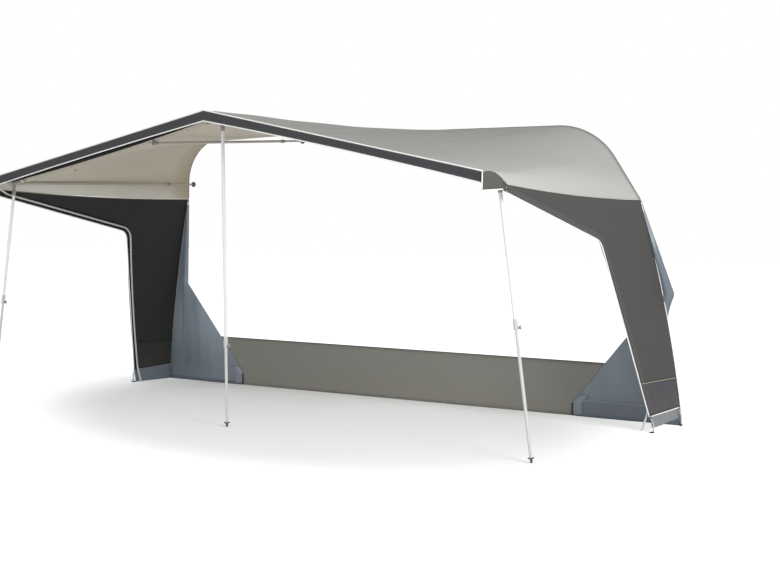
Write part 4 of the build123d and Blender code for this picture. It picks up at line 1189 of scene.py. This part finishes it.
def flap_edges(side, z):
    """How far out the flap's inner and outer edges lie at a height."""
    foot = side.rail_foot_z - BEAD_DIAMETER
    if z < foot:
        overhang = max(side.rail_line_x(foot) + BEAD_DIAMETER / 2 - side.wing_rear_x(foot), 0)
        outer = side.wing_rear_x(z) + overhang * max(1 - (foot - z) / FLAP_TAPER, 0) ** 1.5
        corner = min(side.wing_rear_x(foot) - BEAD_DIAMETER, side.rail_line_x(foot) - BEAD_DIAMETER / 2)
        climb = max((z - side.flap_end_z) / (foot - side.flap_end_z), 0)
        return side.flap_end_x + (corner - side.flap_end_x) * climb, outer
    line = side.rail_line_x(z)
    inner = min(side.wing_rear_x(z) - BEAD_DIAMETER, line - BEAD_DIAMETER / 2)
    return inner, max(side.wing_rear_x(z), line + BEAD_DIAMETER / 2)


def flap_point(side, x, z, stand=0.0):
    """A place on the loose flap, at a distance in front of it."""
    inner, outer = flap_edges(side, z)
    share = min(max((x - inner) / (outer - inner), 0), 1)
    loose = smooth_hump(share) * (1 - share) * 1.8
    pleats = 0.5 + 0.5 * sin(x * 40 + 3 * wrinkle((x, 0, z), 0.5, 4.0))
    deep = 0.5 + 0.5 * wrinkle((x, 0, z * 0.35), 0.16, 9.0)
    upper = loose * min(z / FLAP_LOOSE_Z, 1) * (FLAP_PLEAT * pleats + FLAP_FOLD * deep)
    lower = loose * max(1 - z / FLAP_LOOSE_Z, 0) * FLAP_LOW_FOLD * deep
    return side.at(x, FLAP_Y - CLOTH - upper - lower - stand, z)


def flap_rows(side):
    heights = [FLAP_FOOT_Z, 0.02] + spread(0.04, side.seam_z - FLAP_TOP_GAP, 60)
    return [[flap_point(side, x, z) for x in spread(*flap_edges(side, z), 56)] for z in heights]


def tape_stops(middle):
    """Places across a tape."""
    return [middle + TAPE_WIDTH * (part - 0.5) for part in steps(3)]


def upright_tape_rows(side):
    """A welded strip that runs straight down beside the foot of the rear bead."""
    places = tape_stops(side.rail_foot_x + UPRIGHT_TAPE_OUT[side.name])
    heights = spread(UPRIGHT_TAPE_FOOT, UPRIGHT_TAPE_TOP[side.name], 50)
    return [[flap_point(side, x, z, TAPE_STAND) for x in places] for z in heights]


def low_tape_rows(side):
    """A welded strip along the foot of the flap."""
    places = spread(side.flap_end_x + LOW_TAPE_INSET, side.rail_foot_x, 60)
    return [[flap_point(side, x, z, TAPE_STAND) for z in tape_stops(LOW_TAPE_Z)] for x in places]


def corner_patch_rows(side):
    """A second layer of plastic over the flap's low inner corner."""
    rows = []
    for rise in steps(12):
        z = CORNER_PATCH_FOOT + CORNER_PATCH_HEIGHT * rise
        inner = flap_edges(side, z)[0] + CORNER_PATCH_INSET
        row = []
        for part in steps(10):
            stand = CORNER_PATCH_STAND + CORNER_PATCH_CREST * smooth_hump(part)
            row.append(flap_point(side, inner + CORNER_PATCH_WIDTH * part, z, stand))
        rows.append(row)
    return rows


# The tapes and patches welded to each flap: their rows, and the size that each is cut to
FLAP_TRIMS = {
    "upright_tape": (upright_tape_rows, (TAPE_WIDTH, 1.15)),
    "low_tape": (low_tape_rows, (0.8, TAPE_WIDTH)),
    "corner_patch": (corner_patch_rows, (0.095, 0.175)),
}
strap_lines = []
for side in SIDES:
    cloth("draught_flap_sheet_" + side.name, flap_rows(side), (0, -1, 0), [FLAP_PLASTIC],
          ["draught_flap_" + side.name])
    for trim, (trim_rows, cut) in FLAP_TRIMS.items():
        cloth(f"flap_{trim}_{side.name}", trim_rows(side), (0, -1, 0), [FLAP_TAPE],
              thickness=THIN_CLOTH)
    strap_x = side.flap_end_x + STRAP_INSET
    strap_lines.append([flap_point(side, strap_x, z, STRAP_STAND) for z in STRAP_HEIGHTS])
tubes("flap_end_straps", strap_lines, STRAP_RADIUS, LOOP_RUBBER, 8)


# Skirt along the foot of the rear edge

def skirt_rows():
    """The skirt's waves die out towards its two ends, behind the flaps."""
    rows = []
    for x in spread(SKIRT_LEFT_X, SKIRT_RIGHT_X, 150):
        from_left = min(max((x - SKIRT_LEFT_X - SKIRT_CALM_LEFT) / SKIRT_CALM_SPAN, 0), 1)
        from_right = min(max((SKIRT_CALM_RIGHT - x) / SKIRT_CALM_SPAN, 0), 1)
        row = []
        for fall in steps(12):
            wave = fall * from_left * from_right * SKIRT_WAVE * (0.5 + 0.5 * wrinkle((x, 0, 0), 0.22, 2.0))
            row.append(Vector((x, SKIRT_Y - CLOTH - wave, SKIRT_HEIGHT * (1 - fall) + FLAP_FOOT_Z * fall)))
        rows.append(row)
    return rows


cloth("skirt_cloth_sheet", skirt_rows(), (0, -1, 0), [SKIRT_GREY], ["caravan_skirt"])


# The pockets' names, made here and not used


for side in SIDES:
    for number, (start_x, end_x) in enumerate(POCKET_RUNS):
        f"bar_pocket_{side.name}_{number + 1}"


# Floor, light and camera

BACKGROUND_RAYS = ("Is Camera Ray", "Is Glossy Ray", "Is Transmission Ray")
WHITE = (1.0, 1.0, 1.0, 1.0)
FLOOR_REACH = 90.0
FLOOR_LIFT = 0.82
FLOOR_SHADE_INNER = 0.8
FLOOR_SHADE_OUTER = 1.6
# The floor's glow near the awning, which paints a pool of shade there.
FLOOR_SHADE_GLOW = (0.17, 0.17, 0.17, 1.0)
FLOOR_COLOUR = "#f1f3f6"
WORLD_LEVEL = 0.53
CAMERA_PLACE = Vector((5.848, -9.546, 1.455))
CAMERA_YAW = 0.5412
CAMERA_PITCH = 0.0445
CAMERA_ROLL = 0.01557
CAMERA_LENS = 56.92
CAMERA_FAR = 400.0


def background_mask(tree):
    """One where a ray may see the plain background, and else nothing."""
    paths = add_node(tree, "ShaderNodeLightPath")
    seen, glossy, clear = [Value(tree, paths.outputs[name]) for name in BACKGROUND_RAYS]
    return seen.larger(glossy).larger(clear)


def make_floor():
    """A pale floor that is lifted towards white away from the awning, which leaves a painted pool of shade
    around the awning; it keeps its shadow too.
    """
    finish = Finish("studio_floor", FLOOR_COLOUR, 0.95, Specular_IOR_Level=0.0)
    along = finish.x * 0.42 + finish.y * 0.16
    away = finish.y * 0.5
    distance = (along * along + away * away).root()
    lifted = distance.between(FLOOR_SHADE_INNER, FLOOR_SHADE_OUTER)
    # Painted shade: the floor glows less near the awning, which leaves a grey pool around it.
    finish.feed(Emission_Color=finish.mixed(lifted, FLOOR_SHADE_GLOW, WHITE))
    finish.feed(Emission_Strength=background_mask(finish.tree) * FLOOR_LIFT)
    corners = [Vector((x * FLOOR_REACH, y * FLOOR_REACH, 0)) for x, y in ((-1, -1), (1, -1), (1, 1), (-1, 1))]
    floor = finish_mesh("studio_floor", mesh_of("studio_floor", corners, [(0, 1, 2, 3)]), [finish], False)


def make_world():
    """Even light on the object, and a white background for what sees past it."""
    world = bpy.data.worlds.new("studio_light")
    world.use_nodes = True
    bpy.context.scene.world = world
    tree = world.node_tree
    tree.nodes.clear()
    ambient = add_node(tree, "ShaderNodeBackground", sockets={"Color": WHITE, "Strength": WORLD_LEVEL})
    backdrop = add_node(tree, "ShaderNodeBackground", sockets={"Color": WHITE, "Strength": 1.0})
    shown = {0: background_mask(tree), 1: ambient.outputs[0], 2: backdrop.outputs[0]}
    either = add_node(tree, "ShaderNodeMixShader", sockets=shown)
    add_node(tree, "ShaderNodeOutputWorld", sockets={"Surface": either.outputs[0]})


def soft_lamp(name, place, target, size, power):
    """A square lamp that faces a target."""
    data = bpy.data.lights.new(name, "AREA")
    data.size = size
    data.energy = power
    lamp = bpy.data.objects.new(name, data)
    bpy.context.scene.collection.objects.link(lamp)
    lamp.location = Vector(place)
    lamp.rotation_mode = "QUATERNION"
    lamp.rotation_quaternion = (Vector(target) - Vector(place)).to_track_quat("-Z", "Y")


def make_camera():
    """The camera at the viewing angle that the sizes were worked out from."""
    forward = Vector((-sin(CAMERA_YAW) * cos(CAMERA_PITCH), cos(CAMERA_YAW) * cos(CAMERA_PITCH),
                      -sin(CAMERA_PITCH)))
    level = Vector((cos(CAMERA_YAW), sin(CAMERA_YAW), 0))
    above = level.cross(forward)
    right = level * cos(CAMERA_ROLL) + above * sin(CAMERA_ROLL)
    upwards = above * cos(CAMERA_ROLL) - level * sin(CAMERA_ROLL)
    data = bpy.data.cameras.new("view_camera")
    data.lens = CAMERA_LENS
    data.sensor_width = 36.0
    data.clip_end = CAMERA_FAR
    camera = bpy.data.objects.new("view_camera", data)
    bpy.context.scene.collection.objects.link(camera)
    turned = Matrix((right, upwards, -forward)).transposed().to_4x4()
    camera.matrix_world = Matrix.Translation(CAMERA_PLACE + LAYOUT_TO_FRAME) @ turned
    bpy.context.scene.camera = camera


make_floor()
make_world()
soft_lamp("key_light", (11.0, -4.5, 5.6), target=(0.5, 0, 1.2), size=5.0, power=860)
soft_lamp("fill_light", (-1.5, -14.0, 3.0), target=(0, -1, 1.0), size=8.0, power=390)
make_camera()
bpy.context.scene.view_settings.view_transform = "Standard"
